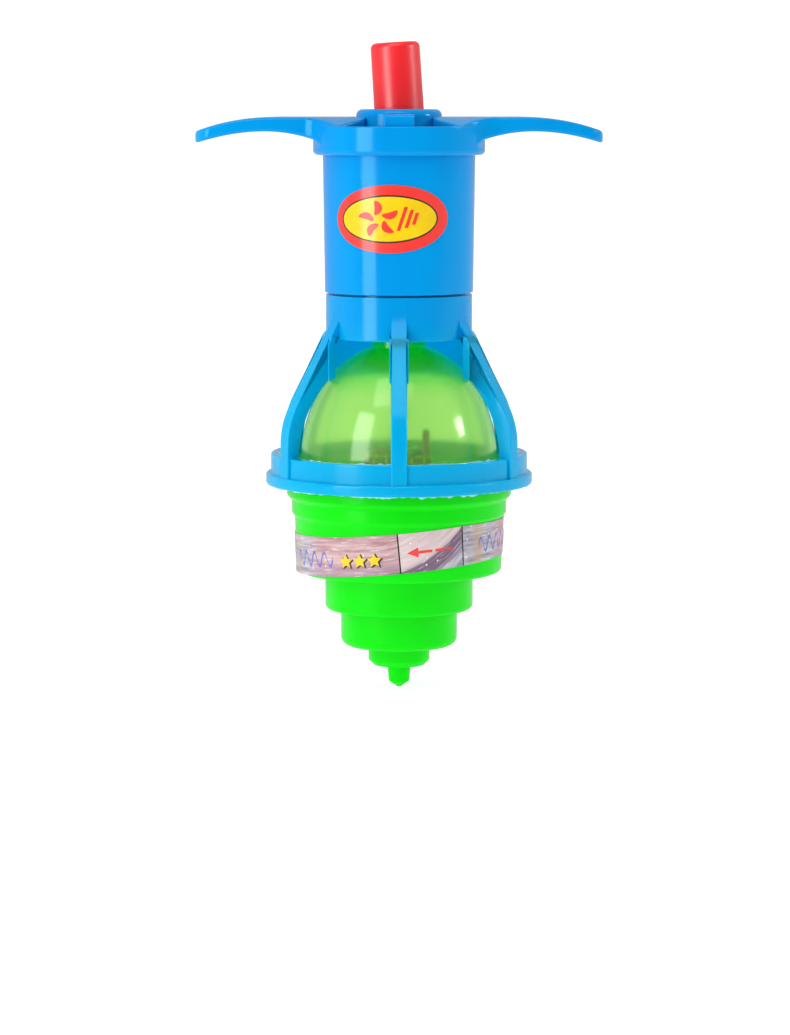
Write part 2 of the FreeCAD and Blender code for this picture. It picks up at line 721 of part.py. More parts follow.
def make_pcb():
    """Small phenolic board, with ears at the back for its screws."""
    board = block(PCB_X0, PCB_X1, -PCB_HALF_D, PCB_HALF_D, PCB_Z0, PCB_Z0 + PCB_T)
    top_z = PCB_Z0 + PCB_T
    ears = [post(x, y, PCB_EAR_R, PCB_Z0, top_z) for x, y in screw_places()]
    ear_roots = [block(x - PCB_EAR_R, x + PCB_EAR_R, PCB_HALF_D - 0.5, y, PCB_Z0, top_z)
                 for x, y in screw_places()]
    board = joined([board] + ears + ear_roots)
    for x, y in screw_places():
        board = board.cut(post(x, y, PCB_SCREW_R + 0.25, PCB_Z0 - 1, top_z + 1))
    return board


def make_pcb_screws():
    """Two self-tapping screws that hold the board to the standoffs."""
    head_z = PCB_Z0 + PCB_T + 0.02
    return Part.makeCompound([
        pan_screw(x, y, head_z, PCB_SCREW_HEAD_R, PCB_SCREW_HEAD_H, PCB_SCREW_R, PCB_SCREW_LENGTH)
        for x, y in screw_places()])


def led_places():
    """Name and place of each lamp on the board."""
    return {"led_red": (-2.9, -1.4), "led_green": (2.4, 2.9), "led_blue": (1.2, -2.4)}


def make_led(x, y):
    """Surface-mount lamp: a flat case with a low round lens."""
    z0 = PCB_Z0 + PCB_T
    case = block(x - 1.2, x + 1.2, y - 0.8, y + 0.8, z0, z0 + 0.55)
    lens = Part.makeSphere(0.9, Vector(x, y, z0 + 0.2))
    lens = lens.common(block(x - 2, x + 2, y - 2, y + 2, z0 + 0.3, z0 + 3))
    return joined([case, lens])


def make_driver_chip():
    """Low blob of black resin over the bonded flasher chip."""
    z0 = PCB_Z0 + PCB_T
    blob = Part.makeSphere(2.6, Vector(-2.5, 2.2, z0 - 1.8))
    return blob.common(block(-6, 2, -1, 5, z0, z0 + 2))


def make_resistor():
    """Chip resistor with end caps."""
    z0 = PCB_Z0 + PCB_T
    core = block(2.4, 3.6, 0.3, 1.1, z0, z0 + 0.4)
    caps = [block(x, x + 0.35, 0.27, 1.13, z0, z0 + 0.44) for x in (2.15, 3.5)]
    return joined([core] + caps)


def make_switch_post():
    """Stiff centre pin of the spin switch."""
    z0 = PCB_Z0 + PCB_T
    foot = post(SWITCH_X, SWITCH_Y, 0.55, z0, z0 + 0.35)
    return joined([foot, post(SWITCH_X, SWITCH_Y, SWITCH_PIN_R, z0, z0 + SWITCH_H + 0.4)])


def make_switch_spring():
    """Copper spring round the pin, which swings out and closes the circuit."""
    z0 = PCB_Z0 + PCB_T + 0.37 + SWITCH_WIRE_R
    helix = Part.makeHelix(SWITCH_PITCH, SWITCH_H - 0.6, SWITCH_COIL_R)
    direction = Vector(0, 2 * math.pi * SWITCH_COIL_R, SWITCH_PITCH)
    circle = Part.Circle(Vector(SWITCH_COIL_R, 0, 0), direction, SWITCH_WIRE_R)
    section = Part.Wire(circle.toShape())
    spring = Part.Wire(helix.Edges).makePipeShell([section], True, True)
    spring.translate(Vector(SWITCH_X, SWITCH_Y, z0))
    return spring


def make_button_cell(index):
    """One alkaline button cell: can below, smaller lid above."""
    z0 = CELL_STACK_Z + index * (CELL_H + 0.02)
    return turned(
        (0, z0),
        (CELL_R - 0.3, z0),
        (CELL_R, z0 + 0.3),
        (CELL_R, z0 + CELL_H - 0.5),
        (CELL_R - 0.35, z0 + CELL_H - 0.35),
        (CELL_R - 0.75, z0 + CELL_H),
        (0, z0 + CELL_H))


def make_contact_plus():
    """Strip under the lowest cell, led up the slot to the board."""
    floor_z = HOLDER_FLOOR_Z + 1.02
    pad = post(0, 0, 2.6, floor_z, floor_z + STRIP_T)
    foot = block(-HOLDER_R + 0.3, 0, -1.0, 1.0, floor_z, floor_z + STRIP_T)
    riser = block(-HOLDER_R + 0.3, -HOLDER_R + 0.3 + STRIP_T, -1.0, 1.0, floor_z, PCB_Z0 - 0.02)
    clearance = tube(HOLDER_BORE_R - 0.12, floor_z + STRIP_T, 40)
    return joined([pad, foot, riser.cut(clearance)])


def make_contact_minus():
    """Springy strip over the upper cell, folded up to the board's underside."""
    z0 = CELL_STACK_Z + CELL_COUNT * (CELL_H + 0.02)
    pad = post(0, 0, 2.4, z0, z0 + STRIP_T)
    arm_z1 = PCB_Z0 - 0.02
    arm = block(1.6, 1.6 + STRIP_T, -1.0, 1.0, z0, arm_z1)
    fold = block(1.6, 3.4, -1.0, 1.0, arm_z1 - STRIP_T, arm_z1)
    return joined([pad, arm, fold])


def make_led_leads():
    """Bright solder bridges and wire ends on the board's front edge."""
    z0 = PCB_Z0 + PCB_T
    strip = block(-5.1, -0.4, -PCB_HALF_D + 0.2, -PCB_HALF_D + 0.9, z0, z0 + 0.22)
    beads = [Part.makeSphere(0.42, Vector(x, -PCB_HALF_D + 0.75, z0 + 0.12))
             for x in (-3.4, -2.2, -0.9)]
    cut_below = block(-6, 6, -6, 6, z0 - 2, z0)
    return joined([strip] + beads).cut(cut_below)


# ---------------------------------------------------------------- write the pieces
def all_pieces():
    pieces = {
        "wing_cap": make_wing_cap(),
        "barrel": make_barrel(),
        "cage": make_cage(),
        "oval_sticker": make_oval_sticker(),
        "main_spring": make_main_spring(),
        "plunger": make_plunger(),
        "rotor": make_rotor(),
        "spring_carrier": make_spring_carrier(),
        "carrier_screw": make_carrier_screw(),
        "top_body": make_top_body(),
        "wrap_label": make_wrap_label(),
        "dome": make_dome(),
        "battery_holder": make_battery_holder(),
        "pcb": make_pcb(),
        "pcb_screws": make_pcb_screws(),
        "driver_chip": make_driver_chip(),
        "resistor": make_resistor(),
        "switch_post": make_switch_post(),
        "switch_spring": make_switch_spring(),
        "contact_plus": make_contact_plus(),
        "contact_minus": make_contact_minus(),
        "led_leads": make_led_leads(),
    }
    for name, (x, y) in led_places().items():
        pieces[name] = make_led(x, y)
    for index in range(CELL_COUNT):
        pieces["button_cell_%d" % (index + 1)] = make_button_cell(index)
    return pieces


os.makedirs("parts", exist_ok=True)
for name, shape in all_pieces().items():
    solids = shape.Solids
    bounds = shape.BoundBox
    print("%-16s solids %d valid %s volume %9.2f  x %.2f..%.2f y %.2f..%.2f z %.2f..%.2f" % (
        name, len(solids), shape.isValid(), shape.Volume, bounds.XMin, bounds.XMax,
        bounds.YMin, bounds.YMax, bounds.ZMin, bounds.ZMax))
    if len(solids) == 1:
        shape = solids[0]
    shape.exportStep("parts/%s.step" % name)
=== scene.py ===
"""Looks of the light-up spinning top and its launcher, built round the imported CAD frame.

The helpers take millimetres and make meshes in metres.  Z is up and -Y is the front.
"""
import math
import random

import bmesh
import bpy
from mathutils import Matrix, Vector


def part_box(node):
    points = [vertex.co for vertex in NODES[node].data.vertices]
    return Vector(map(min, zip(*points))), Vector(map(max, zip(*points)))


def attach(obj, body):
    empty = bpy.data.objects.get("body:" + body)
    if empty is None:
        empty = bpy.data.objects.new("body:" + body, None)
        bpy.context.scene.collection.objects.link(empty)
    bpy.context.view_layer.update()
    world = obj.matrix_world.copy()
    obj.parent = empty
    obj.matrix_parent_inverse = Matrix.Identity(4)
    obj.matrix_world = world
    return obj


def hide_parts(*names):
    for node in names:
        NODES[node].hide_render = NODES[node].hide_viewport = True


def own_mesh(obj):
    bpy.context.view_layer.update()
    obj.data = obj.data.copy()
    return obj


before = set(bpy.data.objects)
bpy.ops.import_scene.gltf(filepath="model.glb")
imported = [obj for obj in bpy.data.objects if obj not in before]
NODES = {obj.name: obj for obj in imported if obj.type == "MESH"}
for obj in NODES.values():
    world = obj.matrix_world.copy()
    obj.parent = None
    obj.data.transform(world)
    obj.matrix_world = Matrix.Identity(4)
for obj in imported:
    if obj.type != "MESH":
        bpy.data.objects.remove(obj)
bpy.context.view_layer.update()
MM = 0.001


def node_box(node):
    """Lowest and highest corners of a CAD node, in millimetres."""
    low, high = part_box(node)
    return low / MM, high / MM


# ---------------------------------------------------------------- mesh helpers
def new_object(name, mesh, angle=35):
    """Object that shades smooth except across edges sharper than the angle."""
    mesh.shade_smooth()
    mesh.set_sharp_from_angle(angle=math.radians(angle))
    thing = bpy.data.objects.new(name, mesh)
    bpy.context.scene.collection.objects.link(thing)
    return thing


def mesh_from(name, points, faces):
    """Mesh in metres from points in millimetres, with its normals turned outward."""
    mesh = bpy.data.meshes.new(name)
    mesh.from_pydata([Vector(p) * MM for p in points], [], faces)
    work = bmesh.new()
    work.from_mesh(mesh)
    bmesh.ops.recalc_face_normals(work, faces=work.faces)
    work.to_mesh(mesh)
    work.free()
    return mesh


def rounded(corners, closed=True, steps=5, support=0.12):
    """Outline through (a, b, fillet) corners, with arcs for fillets and a point beside each."""
    outline = []
    count = len(corners)
    for index, (a, b, fillet) in enumerate(corners):
        here = Vector((a, b))
        if fillet <= 0 or (not closed and index in (0, count - 1)):
            outline.append(here)
            continue
        before = Vector(corners[index - 1][:2]) - here
        after = Vector(corners[(index + 1) % count][:2]) - here
        half = before.angle(after) / 2
        reach = min(fillet / math.tan(half), before.length * 0.48, after.length * 0.48)
        radius = reach * math.tan(half)
        middle = (before.normalized() + after.normalized()).normalized()
        centre = here + middle * radius / math.sin(half)
        start = here + before.normalized() * reach
        end = here + after.normalized() * reach
        turn = (start - centre).angle_signed(end - centre)
        outline.append(start + before.normalized() * min(support, before.length * 0.02 + 0.02))
        for step in range(steps + 1):
            arm = start - centre
            arm.rotate(Matrix.Rotation(-turn * step / steps, 2))
            outline.append(centre + arm)
        outline.append(end + after.normalized() * min(support, after.length * 0.02 + 0.02))
    return outline


def lathe_mesh(name, outline, segments=160, start=0.0, sweep=360.0):
    """Closed mesh turned about Z from a closed outline of (radius, height)."""
    full = sweep >= 360.0
    rows = segments if full else segments + 1
    points = []
    index_of = []
    for row in range(rows):
        angle = math.radians(start + sweep * row / segments)
        here = []
        for r, z in outline:
            if abs(r) < 1e-6 and row > 0:
                here.append(index_of[0][len(here)])
            else:
                here.append(len(points))
                points.append((r * math.cos(angle), r * math.sin(angle), z))
        index_of.append(here)
    faces = []
    count = len(outline)
    for row in range(segments):
        one, two = index_of[row], index_of[(row + 1) % rows]
        for k in range(count):
            after = (k + 1) % count
            loop = [one[k], one[after], two[after], two[k]]
            loop = list(dict.fromkeys(loop))
            if len(loop) > 2:
                faces.append(loop)
    if not full:
        faces.append(index_of[0])
        faces.append(index_of[-1][::-1])
    return mesh_from(name, points, faces)


def lathe(name, outline, **options):
    """Piece turned about Z, with lathe_mesh's options."""
    return new_object(name, lathe_mesh(name, outline, **options))


def plate(name, outline, thickness, bevel, place):
    """Flat plate from a closed (a, b) outline; place turns (a, offset, b) into a point."""
    work = bmesh.new()
    ring = [work.verts.new(Vector(place(a, -thickness / 2, b)) * MM) for a, b in outline]
    face = work.faces.new(ring)
    grown = bmesh.ops.extrude_face_region(work, geom=[face])
    moved = [v for v in grown["geom"] if isinstance(v, bmesh.types.BMVert)]
    shift = (Vector(place(0, thickness / 2, 0)) - Vector(place(0, -thickness / 2, 0))) * MM
    bmesh.ops.translate(work, verts=moved, vec=shift)
    bmesh.ops.recalc_face_normals(work, faces=work.faces)
    if bevel > 0:
        rims = [e for e in work.edges if any(len(f.verts) > 4 for f in e.link_faces)]
        bmesh.ops.bevel(work, geom=rims, offset=bevel * MM, segments=3, profile=0.5,
                        affect="EDGES", clamp_overlap=True)
    mesh = bpy.data.meshes.new(name)
    work.to_mesh(mesh)
    work.free()
    return new_object(name, mesh)


def bake(thing):
    """Turn a piece's modifiers into its mesh."""
    depsgraph = bpy.context.evaluated_depsgraph_get()
    mesh = bpy.data.meshes.new_from_object(thing.evaluated_get(depsgraph))
    thing.modifiers.clear()
    thing.data = mesh


def combine(base, others, operation="UNION"):
    """One closed mesh from a base and others, which are used up."""
    group = bpy.data.collections.new("operands")
    for thing in others:
        bpy.context.scene.collection.objects.unlink(thing)
        group.objects.link(thing)
    bpy.context.scene.collection.children.link(group)
    cut = base.modifiers.new("combine", "BOOLEAN")
    cut.operation = operation
    cut.operand_type = "COLLECTION"
    cut.collection = group
    cut.solver = "EXACT"
    bake(base)
    for thing in others:
        bpy.data.objects.remove(thing)
    bpy.data.collections.remove(group)
    base.data.shade_smooth()
    base.data.set_sharp_from_angle(angle=math.radians(35))
    # flat faces keep their own normals beside the small bevels
    weighing = base.modifiers.new("weighing", "WEIGHTED_NORMAL")
    weighing.keep_sharp = True
    bake(base)
    return base


def dress(thing, material):
    """Give a piece its only material."""
    thing.data.materials.clear()
    thing.data.materials.append(material)


# ---------------------------------------------------------------- material helpers
def linear(red, green, blue):
    """Shader colour from 0 to 255 screen values."""
    def one(value):
        value /= 255
        return value / 12.92 if value <= 0.04045 else ((value + 0.055) / 1.055) ** 2.4
    return (one(red), one(green), one(blue), 1.0)


def new_material(name):
    """New material, its node tree and its main shader."""
    material = bpy.data.materials.new(name)
    material.use_nodes = True
    tree = material.node_tree
    shader = tree.nodes["Principled BSDF"]
    return material, tree, shader


def add(tree, kind, **values):
    """Node of a kind, with its properties and its inputs set by name."""
    node = tree.nodes.new(kind)
    for key, value in values.items():
        if key in node.inputs:
            node.inputs[key].default_value = value
        else:
            setattr(node, key, value)
    return node


def own_place(tree):
    """The piece's own coordinates, in metres."""
    return add(tree, "ShaderNodeTexCoord").outputs["Object"]


def split(tree, vector):
    """The X, Y and Z of a vector, as a node's outputs."""
    parts = add(tree, "ShaderNodeSeparateXYZ")
    tree.links.new(vector, parts.inputs["Vector"])
    return parts.outputs


def noise(tree, scale, detail=3.0, roughness=0.5, vector=None):
    """Noise over the piece's own coordinates; scale counts features per metre."""
    node = add(tree, "ShaderNodeTexNoise")
    node.inputs["Scale"].default_value = scale
    node.inputs["Detail"].default_value = detail
    node.inputs["Roughness"].default_value = roughness
    if vector is None:
        vector = own_place(tree)
    tree.links.new(vector, node.inputs["Vector"])
    return node.outputs["Fac"]


def spread(tree, value, low, high, start=0.3, end=0.7):
    """A value between start and end, spread between low and high."""
    node = add(tree, "ShaderNodeMapRange")
    node.inputs["From Min"].default_value = start
    node.inputs["From Max"].default_value = end
    node.inputs["To Min"].default_value = low
    node.inputs["To Max"].default_value = high
    tree.links.new(value, node.inputs["Value"])
    return node.outputs["Result"]


def mixed(tree, factor, one, two):
    """Colour mix; each of the three may be a socket or a constant."""
    node = add(tree, "ShaderNodeMix", data_type="RGBA")
    for socket, value in ((node.inputs[0], factor), (node.inputs[6], one), (node.inputs[7], two)):
        if isinstance(value, bpy.types.NodeSocket):
            tree.links.new(value, socket)
        else:
            socket.default_value = value
    return node.outputs[2]


def bumped(tree, shader, height, strength, distance_mm):
    """Let a height texture ripple the surface."""
    node = add(tree, "ShaderNodeBump")
    node.inputs["Strength"].default_value = strength
    node.inputs["Distance"].default_value = distance_mm * MM
    tree.links.new(height, node.inputs["Height"])
    tree.links.new(node.outputs["Normal"], shader.inputs["Normal"])


def by_height(tree, low_mm, high_mm):
    """0 below one height of the piece's own coordinates, 1 above the other."""
    return spread(tree, split(tree, own_place(tree))["Z"], 0, 1, low_mm * MM, high_mm * MM)


def moulded(name, colour, deep, rough=(0.2, 0.32), glow=0.0, bump=0.2, tint=(1, 1, 1),
            level=0.4, painted_reflection_stretch=1.0, above=None):
    """Glossy moulded plastic: faint cloudy flow in its colour, fine ripple, hazy patches.

    The stretch argument, below 1, draws the colour flow out along the piece's height into
    vertical streaks: the tone is the moulding's flow, the streaks are painted reflection bands.
    above is (colour, low_mm, high_mm): the colour that takes over up the piece.
    """
    material, tree, shader = new_material(name)
    # a stretch below 1 turns the colour flow into vertical streaks, painted reflection bands
    drawn = add(tree, "ShaderNodeMapping")
    drawn.inputs["Scale"].default_value = (1, 1, painted_reflection_stretch)
    tree.links.new(own_place(tree), drawn.inputs["Vector"])
    cloud = spread(tree, noise(tree, 90, 4, vector=drawn.outputs["Vector"]), 0, 1)
    base = mixed(tree, cloud, deep, colour)
    if above:
        base = mixed(tree, by_height(tree, above[1], above[2]), base, above[0])
    tree.links.new(base, shader.inputs["Base Color"])
    tree.links.new(spread(tree, noise(tree, 190, 3), *rough), shader.inputs["Roughness"])
    bumped(tree, shader, noise(tree, 240, 2), bump, 0.02)
    shader.inputs["Specular IOR Level"].default_value = level
    shader.inputs["Specular Tint"].default_value = tint + (1,)
    if glow:
        shader.inputs["Subsurface Weight"].default_value = glow
        shader.inputs["Subsurface Radius"].default_value = (0.25, 0.9, 1.0)
        shader.inputs["Subsurface Scale"].default_value = 1.5 * MM
    return material


def painted_inner_glow(material, colour, strength, full_mm, none_mm, top_mm):
    """Painted glow: emission near the axis and below a height, standing in for the light that
    thin walls let through.
    """
    tree = material.node_tree
    shader = tree.nodes["Principled BSDF"]
    place = split(tree, own_place(tree))
    flat = add(tree, "ShaderNodeCombineXYZ")
    tree.links.new(place["X"], flat.inputs["X"])
    tree.links.new(place["Y"], flat.inputs["Y"])
    radius = add(tree, "ShaderNodeVectorMath", operation="LENGTH")
    tree.links.new(flat.outputs["Vector"], radius.inputs[0])
    inside = spread(tree, radius.outputs["Value"], 1, 0, full_mm * MM, none_mm * MM)
    tree.links.new(mixed(tree, inside, (0, 0, 0, 1), colour), shader.inputs["Emission Color"])
    fade = spread(tree, place["Z"], strength, 0, (top_mm - 1) * MM, top_mm * MM)
    tree.links.new(fade, shader.inputs["Emission Strength"])


def metal(name, colour, rough=(0.2, 0.35), scale=900):
    """Small metal part with fine drawn marks."""
    material, tree, shader = new_material(name)
    tarnish = spread(tree, noise(tree, scale, 4), 0, 1)
    dull = tuple(c * 0.72 for c in colour[:3]) + (1.0,)
    tree.links.new(mixed(tree, tarnish, dull, colour), shader.inputs["Base Color"])
    tree.links.new(spread(tree, noise(tree, scale * 2, 3), *rough), shader.inputs["Roughness"])
    shader.inputs["Metallic"].default_value = 1.0
    return material


# ---------------------------------------------------------------- materials
# the barrel's colour flow is stretched into vertical streaks that paint reflection bands
BLUE = moulded("barrel_blue", linear(0, 155, 229), linear(0, 142, 221), (0.1, 0.18), bump=0.1,
               tint=(0.4, 0.9, 1.0), painted_reflection_stretch=0.06)
CYAN = moulded("cage_cyan", linear(0, 174, 225), linear(0, 168, 219), (0.1, 0.2), glow=0.6,
               bump=0.12, tint=(0.5, 0.9, 1.0), above=(linear(0, 155, 224), 50.0, 58.0))
# painted glow inside the cage, in place of light let through its thin walls
painted_inner_glow(CYAN, linear(0, 138, 214), 0.6, 11.15, 11.22, 59.0)
RED = moulded("plunger_red", linear(255, 14, 30), linear(248, 8, 26), (0.3, 0.4), glow=0.1,
              level=1.0)
GREEN = moulded("body_green", linear(0, 232, 4), linear(0, 226, 0), (0.16, 0.24), glow=0.2,
                bump=0.05, tint=(0.5, 1.0, 0.5))
FLASH = moulded("flash_pale_cyan", linear(190, 232, 246), linear(150, 220, 240), (0.3, 0.4))
HOLDER = moulded("holder_pale_green", linear(214, 250, 170), linear(200, 246, 150), (0.4, 0.5))
WHITE = moulded("acetal_white", linear(232, 232, 226), linear(220, 220, 212), (0.4, 0.5))
STEEL = metal("zinc_steel", linear(190, 192, 196))
SPRING = metal("spring_wire", linear(150, 152, 156), (0.28, 0.42))
BRASS = metal("bright_brass", linear(255, 226, 120), (0.15, 0.3), 1600)
COPPER = moulded("enamelled_copper", linear(236, 112, 70), linear(214, 94, 58), (0.2, 0.3))
NICKEL = metal("nickel_can", linear(205, 205, 208), (0.12, 0.25))
RESIN = moulded("black_resin", linear(16, 16, 17), linear(10, 10, 11), (0.3, 0.45))


def clear_plastic(name, face, rim, clear=1.0, rough=(0.04, 0.1), painted_wall_glow=None):
    """Tinted clear plastic whose tint deepens where the wall is seen edge on.

    The last argument is (low colour, high colour, low_mm, high_mm): a painted glow, a tint that
    deepens to the rim colour up the wall and an emission there, standing in for light carried
    along the wall.
    """
    material, tree, shader = new_material(name)
    edge = add(tree, "ShaderNodeLayerWeight", Blend=0.42)
    deep = spread(tree, edge.outputs["Facing"], 0, 1, 0.42, 0.85)
    base = mixed(tree, deep, face, rim)
    # painted glow: the tint deepens to the rim colour up the wall
    if painted_wall_glow:
        base = mixed(tree, by_height(tree, painted_wall_glow[2], painted_wall_glow[3]), base, rim)
    tree.links.new(base, shader.inputs["Base Color"])
    shader.inputs["Transmission Weight"].default_value = clear
    shader.inputs["IOR"].default_value = 1.5
    tree.links.new(spread(tree, noise(tree, 150, 3), *rough), shader.inputs["Roughness"])
    bumped(tree, shader, noise(tree, 160, 2), 0.15, 0.03)
    # painted glow: the wall gives off light up its height, in place of light carried along it
    if painted_wall_glow:
        painted_wall_glow_colour = mixed(tree, by_height(tree, painted_wall_glow[2], painted_wall_glow[3]), painted_wall_glow[0], painted_wall_glow[1])
        tree.links.new(painted_wall_glow_colour, shader.inputs["Emission Color"])
        shader.inputs["Emission Strength"].default_value = 0.12
    return material


# the dome's last argument paints a glow into its upper wall
DOME = clear_plastic("dome_clear_green", linear(206, 238, 162), linear(0, 212, 60), 0.88,
                     (0.1, 0.15), (linear(60, 170, 70), linear(0, 225, 70), 46.0, 53.2))
LENSES = {
    "led_red": clear_plastic("lens_red", linear(255, 150, 130), linear(220, 30, 20)),
    "led_green": clear_plastic("lens_green", linear(170, 255, 160), linear(30, 190, 40)),
    "led_blue": clear_plastic("lens_blue", linear(170, 200, 255), linear(30, 70, 220)),
}


def board_material():
    """Brown phenolic board with thin bright tracks on it."""
    material, tree, shader = new_material("phenolic_board")
    grain = spread(tree, noise(tree, 1400, 5), 0, 1)
    brown = mixed(tree, grain, linear(166, 96, 40), linear(200, 124, 56))
    bricks = add(tree, "ShaderNodeTexBrick", offset=0.35)
    bricks.inputs["Scale"].default_value = 260
    bricks.inputs["Mortar Size"].default_value = 0.035
    tree.links.new(own_place(tree), bricks.inputs["Vector"])
    tracked = mixed(tree, bricks.outputs["Fac"], brown, linear(250, 206, 90))
    tree.links.new(tracked, shader.inputs["Base Color"])
    shader.inputs["Roughness"].default_value = 0.45
    bumped(tree, shader, grain, 0.3, 0.02)
    return material


# ---------------------------------------------------------------- barrel and stickers
BARREL_TOP_R = 11.72
BARREL_LOW_R = 11.41
COLLAR_LOW_Z = 82.6
BARREL_LOW_Z = node_box("barrel")[0].z
BARREL_FLOOR_Z = 64.2
BARREL_FLOOR_TOP_Z = 65.6
SHAFT_GUIDE_Z = 68.4
SEAM_OPENING = 0.1


def barrel_radius(z):
    """Outer radius of the drafted barrel."""
    share = min(1.0, (z - BARREL_LOW_Z) / (COLLAR_LOW_Z - BARREL_LOW_Z))
    return BARREL_LOW_R + (BARREL_TOP_R - BARREL_LOW_R) * share


def make_barrel():
    """Drafted tube with its floor and shaft guide, edges softened."""
    low, high = node_box("barrel")
    shell = lathe("barrel_shell", rounded([
        (10.25, low.z, 0.1), (10.9, low.z, 0.05), (BARREL_LOW_R, low.z + SEAM_OPENING, 0.05),
        (BARREL_TOP_R, COLLAR_LOW_Z, 0), (BARREL_TOP_R, high.z, 0.2), (10.67, high.z, 0.2),
        (10.25, BARREL_FLOOR_TOP_Z, 0.4), (4.6, BARREL_FLOOR_TOP_Z, 0.4),
        (4.6, SHAFT_GUIDE_Z, 0.3), (2.9, SHAFT_GUIDE_Z, 0.1),
        (2.9, BARREL_FLOOR_Z, 0.1), (10.25, BARREL_FLOOR_Z, 0.2)]), segments=192)
    dress(shell, BLUE)
    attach(shell, "launcher")
    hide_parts("barrel")


FILM_T = 0.11
INK_T = 0.03
OVAL_Z = 73.1
OVAL_TURN = -7.0
OVAL_TILT = math.radians(-1.0)


def on_barrel(across, up, lift):
    """Point on the barrel at an arc length and a height from the oval's middle."""
    a = across * math.cos(OVAL_TILT) + up * math.sin(OVAL_TILT)
    b = up * math.cos(OVAL_TILT) - across * math.sin(OVAL_TILT)
    z = OVAL_Z + b
    r = barrel_radius(z) + lift
    angle = math.radians(OVAL_TURN - 90) + a / barrel_radius(OVAL_Z)
    return (r * math.cos(angle), r * math.sin(angle), z)


def film(name, rings, place, lift, thick, colours):
    """Thin closed film from nested rings of flat points, wrapped by place."""
    points = []
    faces = []
    marks = []
    count = len(rings[0][1])
    for level in (lift + thick, lift):
        for _, ring in rings:
            points += [place(a, b, level) for a, b in ring]
    layer = len(rings) * count
    for side in (0, 1):
        for k in range(len(rings) - 1):
            for i in range(count):
                one = side * layer + k * count
                two = one + count
                faces.append([one + i, one + (i + 1) % count, two + (i + 1) % count, two + i])
                marks.append(rings[k + 1][0])
        faces.append([side * layer + i for i in range(count)])
        marks.append(rings[0][0])
    last = (len(rings) - 1) * count
    for i in range(count):
        after = (i + 1) % count
        faces.append([last + i, last + after, layer + last + after, layer + last + i])
        marks.append(rings[-1][0])
    mesh = mesh_from(name, points, faces)
    for colour in colours:
        mesh.materials.append(colour)
    for polygon, mark in zip(mesh.polygons, marks):
        polygon.material_index = mark
    return new_object(name, mesh)


def printed(name, colour, worn, rough=0.28):
    """Printed glossy film: dot grain, slight fading and faint creases."""
    material, tree, shader = new_material(name)
    fade = spread(tree, noise(tree, 320, 6, 0.65), 0, 1, 0.35, 0.75)
    tree.links.new(mixed(tree, fade, colour, worn), shader.inputs["Base Color"])
    shader.inputs["Roughness"].default_value = rough
    shader.inputs["Coat Weight"].default_value = 0.4
    shader.inputs["Coat Roughness"].default_value = 0.12
    bumped(tree, shader, noise(tree, 900, 3), 0.2, 0.01)
    return material


YELLOW_PRINT = printed("print_yellow", linear(248, 212, 0), linear(238, 196, 0))
RED_PRINT = printed("print_red", linear(250, 52, 46), linear(238, 70, 60))
BLACK_PRINT = printed("print_black", linear(38, 38, 36), linear(56, 54, 50))


def oval_ring(half_a, half_b, shift, count=96):
    """Ring of points round an ellipse."""
    turns = [2 * math.pi * i / count for i in range(count)]
    return [(half_a * math.cos(t) + shift, half_b * math.sin(t)) for t in turns]


def pinwheel_blade(turn):
    """Rings of one curved blade of the generic mark, from its middle outward."""
    rings = []
    for share in (0.35, 1.0):
        outline = []
        for step in range(24):
            t = 2 * math.pi * step / 24
            along = 1.7 + 1.1 * share * math.cos(t)
            across = 0.52 * share * math.sin(t) + 0.34 * (along - 1.7) ** 2
            outline.append((1.15 * (along * math.cos(turn) - across * math.sin(turn)) - 1.7,
                            along * math.sin(turn) + across * math.cos(turn)))
        rings.append((0, outline))
    return rings


def slanted_bar(across, height):
    """Rings of one slanted bar of the generic mark."""
    rings = []
    for share in (0.5, 1.0):
        half_w, half_h = 0.27 * share, height / 2 * share
        lean = 0.35 * half_h
        rings.append((0, [
            (across - half_w - lean, -half_h), (across + half_w - lean, -half_h),
            (across + half_w + lean, half_h), (across - half_w + lean, half_h)]))
    return rings


def make_oval_sticker():
    """Oval film: yellow field, thin black line, red border, and a generic mark."""
    half_a, half_b = 9.3, 5.15
    border, line, shift = 1.52, 0.25, -0.28
    field_a, field_b = half_a - border - line, half_b - border - line
    rings = []
    for share in (0.15, 0.4, 0.65, 0.85, 1.0):
        rings.append((0, oval_ring(field_a * share, field_b * share, shift * share)))
    rings.append((1, oval_ring(half_a - border, half_b - border, shift)))
    for share in (0.35, 0.7, 0.95, 1.0):
        inset = border * (1 - share)
        rings.append((2, oval_ring(half_a - inset, half_b - inset, shift * (1 - share))))
    sticker = film("oval_sticker_film", rings, on_barrel, 0.0, FILM_T,
                   [YELLOW_PRINT, BLACK_PRINT, RED_PRINT])
    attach(sticker, "launcher")
    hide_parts("oval_sticker")
    marks = [pinwheel_blade(2 * math.pi * index / 5 + 0.3) for index in range(5)]
    marks += [slanted_bar(1.9, 3.6), slanted_bar(2.95, 2.7), slanted_bar(3.9, 1.8)]
    for index, rings in enumerate(marks):
        mark = film("mark_%d" % (index + 1), rings, on_barrel, 0.1, INK_T, [RED_PRINT])
        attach(mark, "launcher")


# ---------------------------------------------------------------- wing cap
HUB_TOP = 89.6
HUB_LOW = 84.2
HUB_BORE_R = 4.55
SPOKE_LOW = 85.2
WING_TIP = 31.3
WING_TOP = 88.35
FLARE_X = 15.6


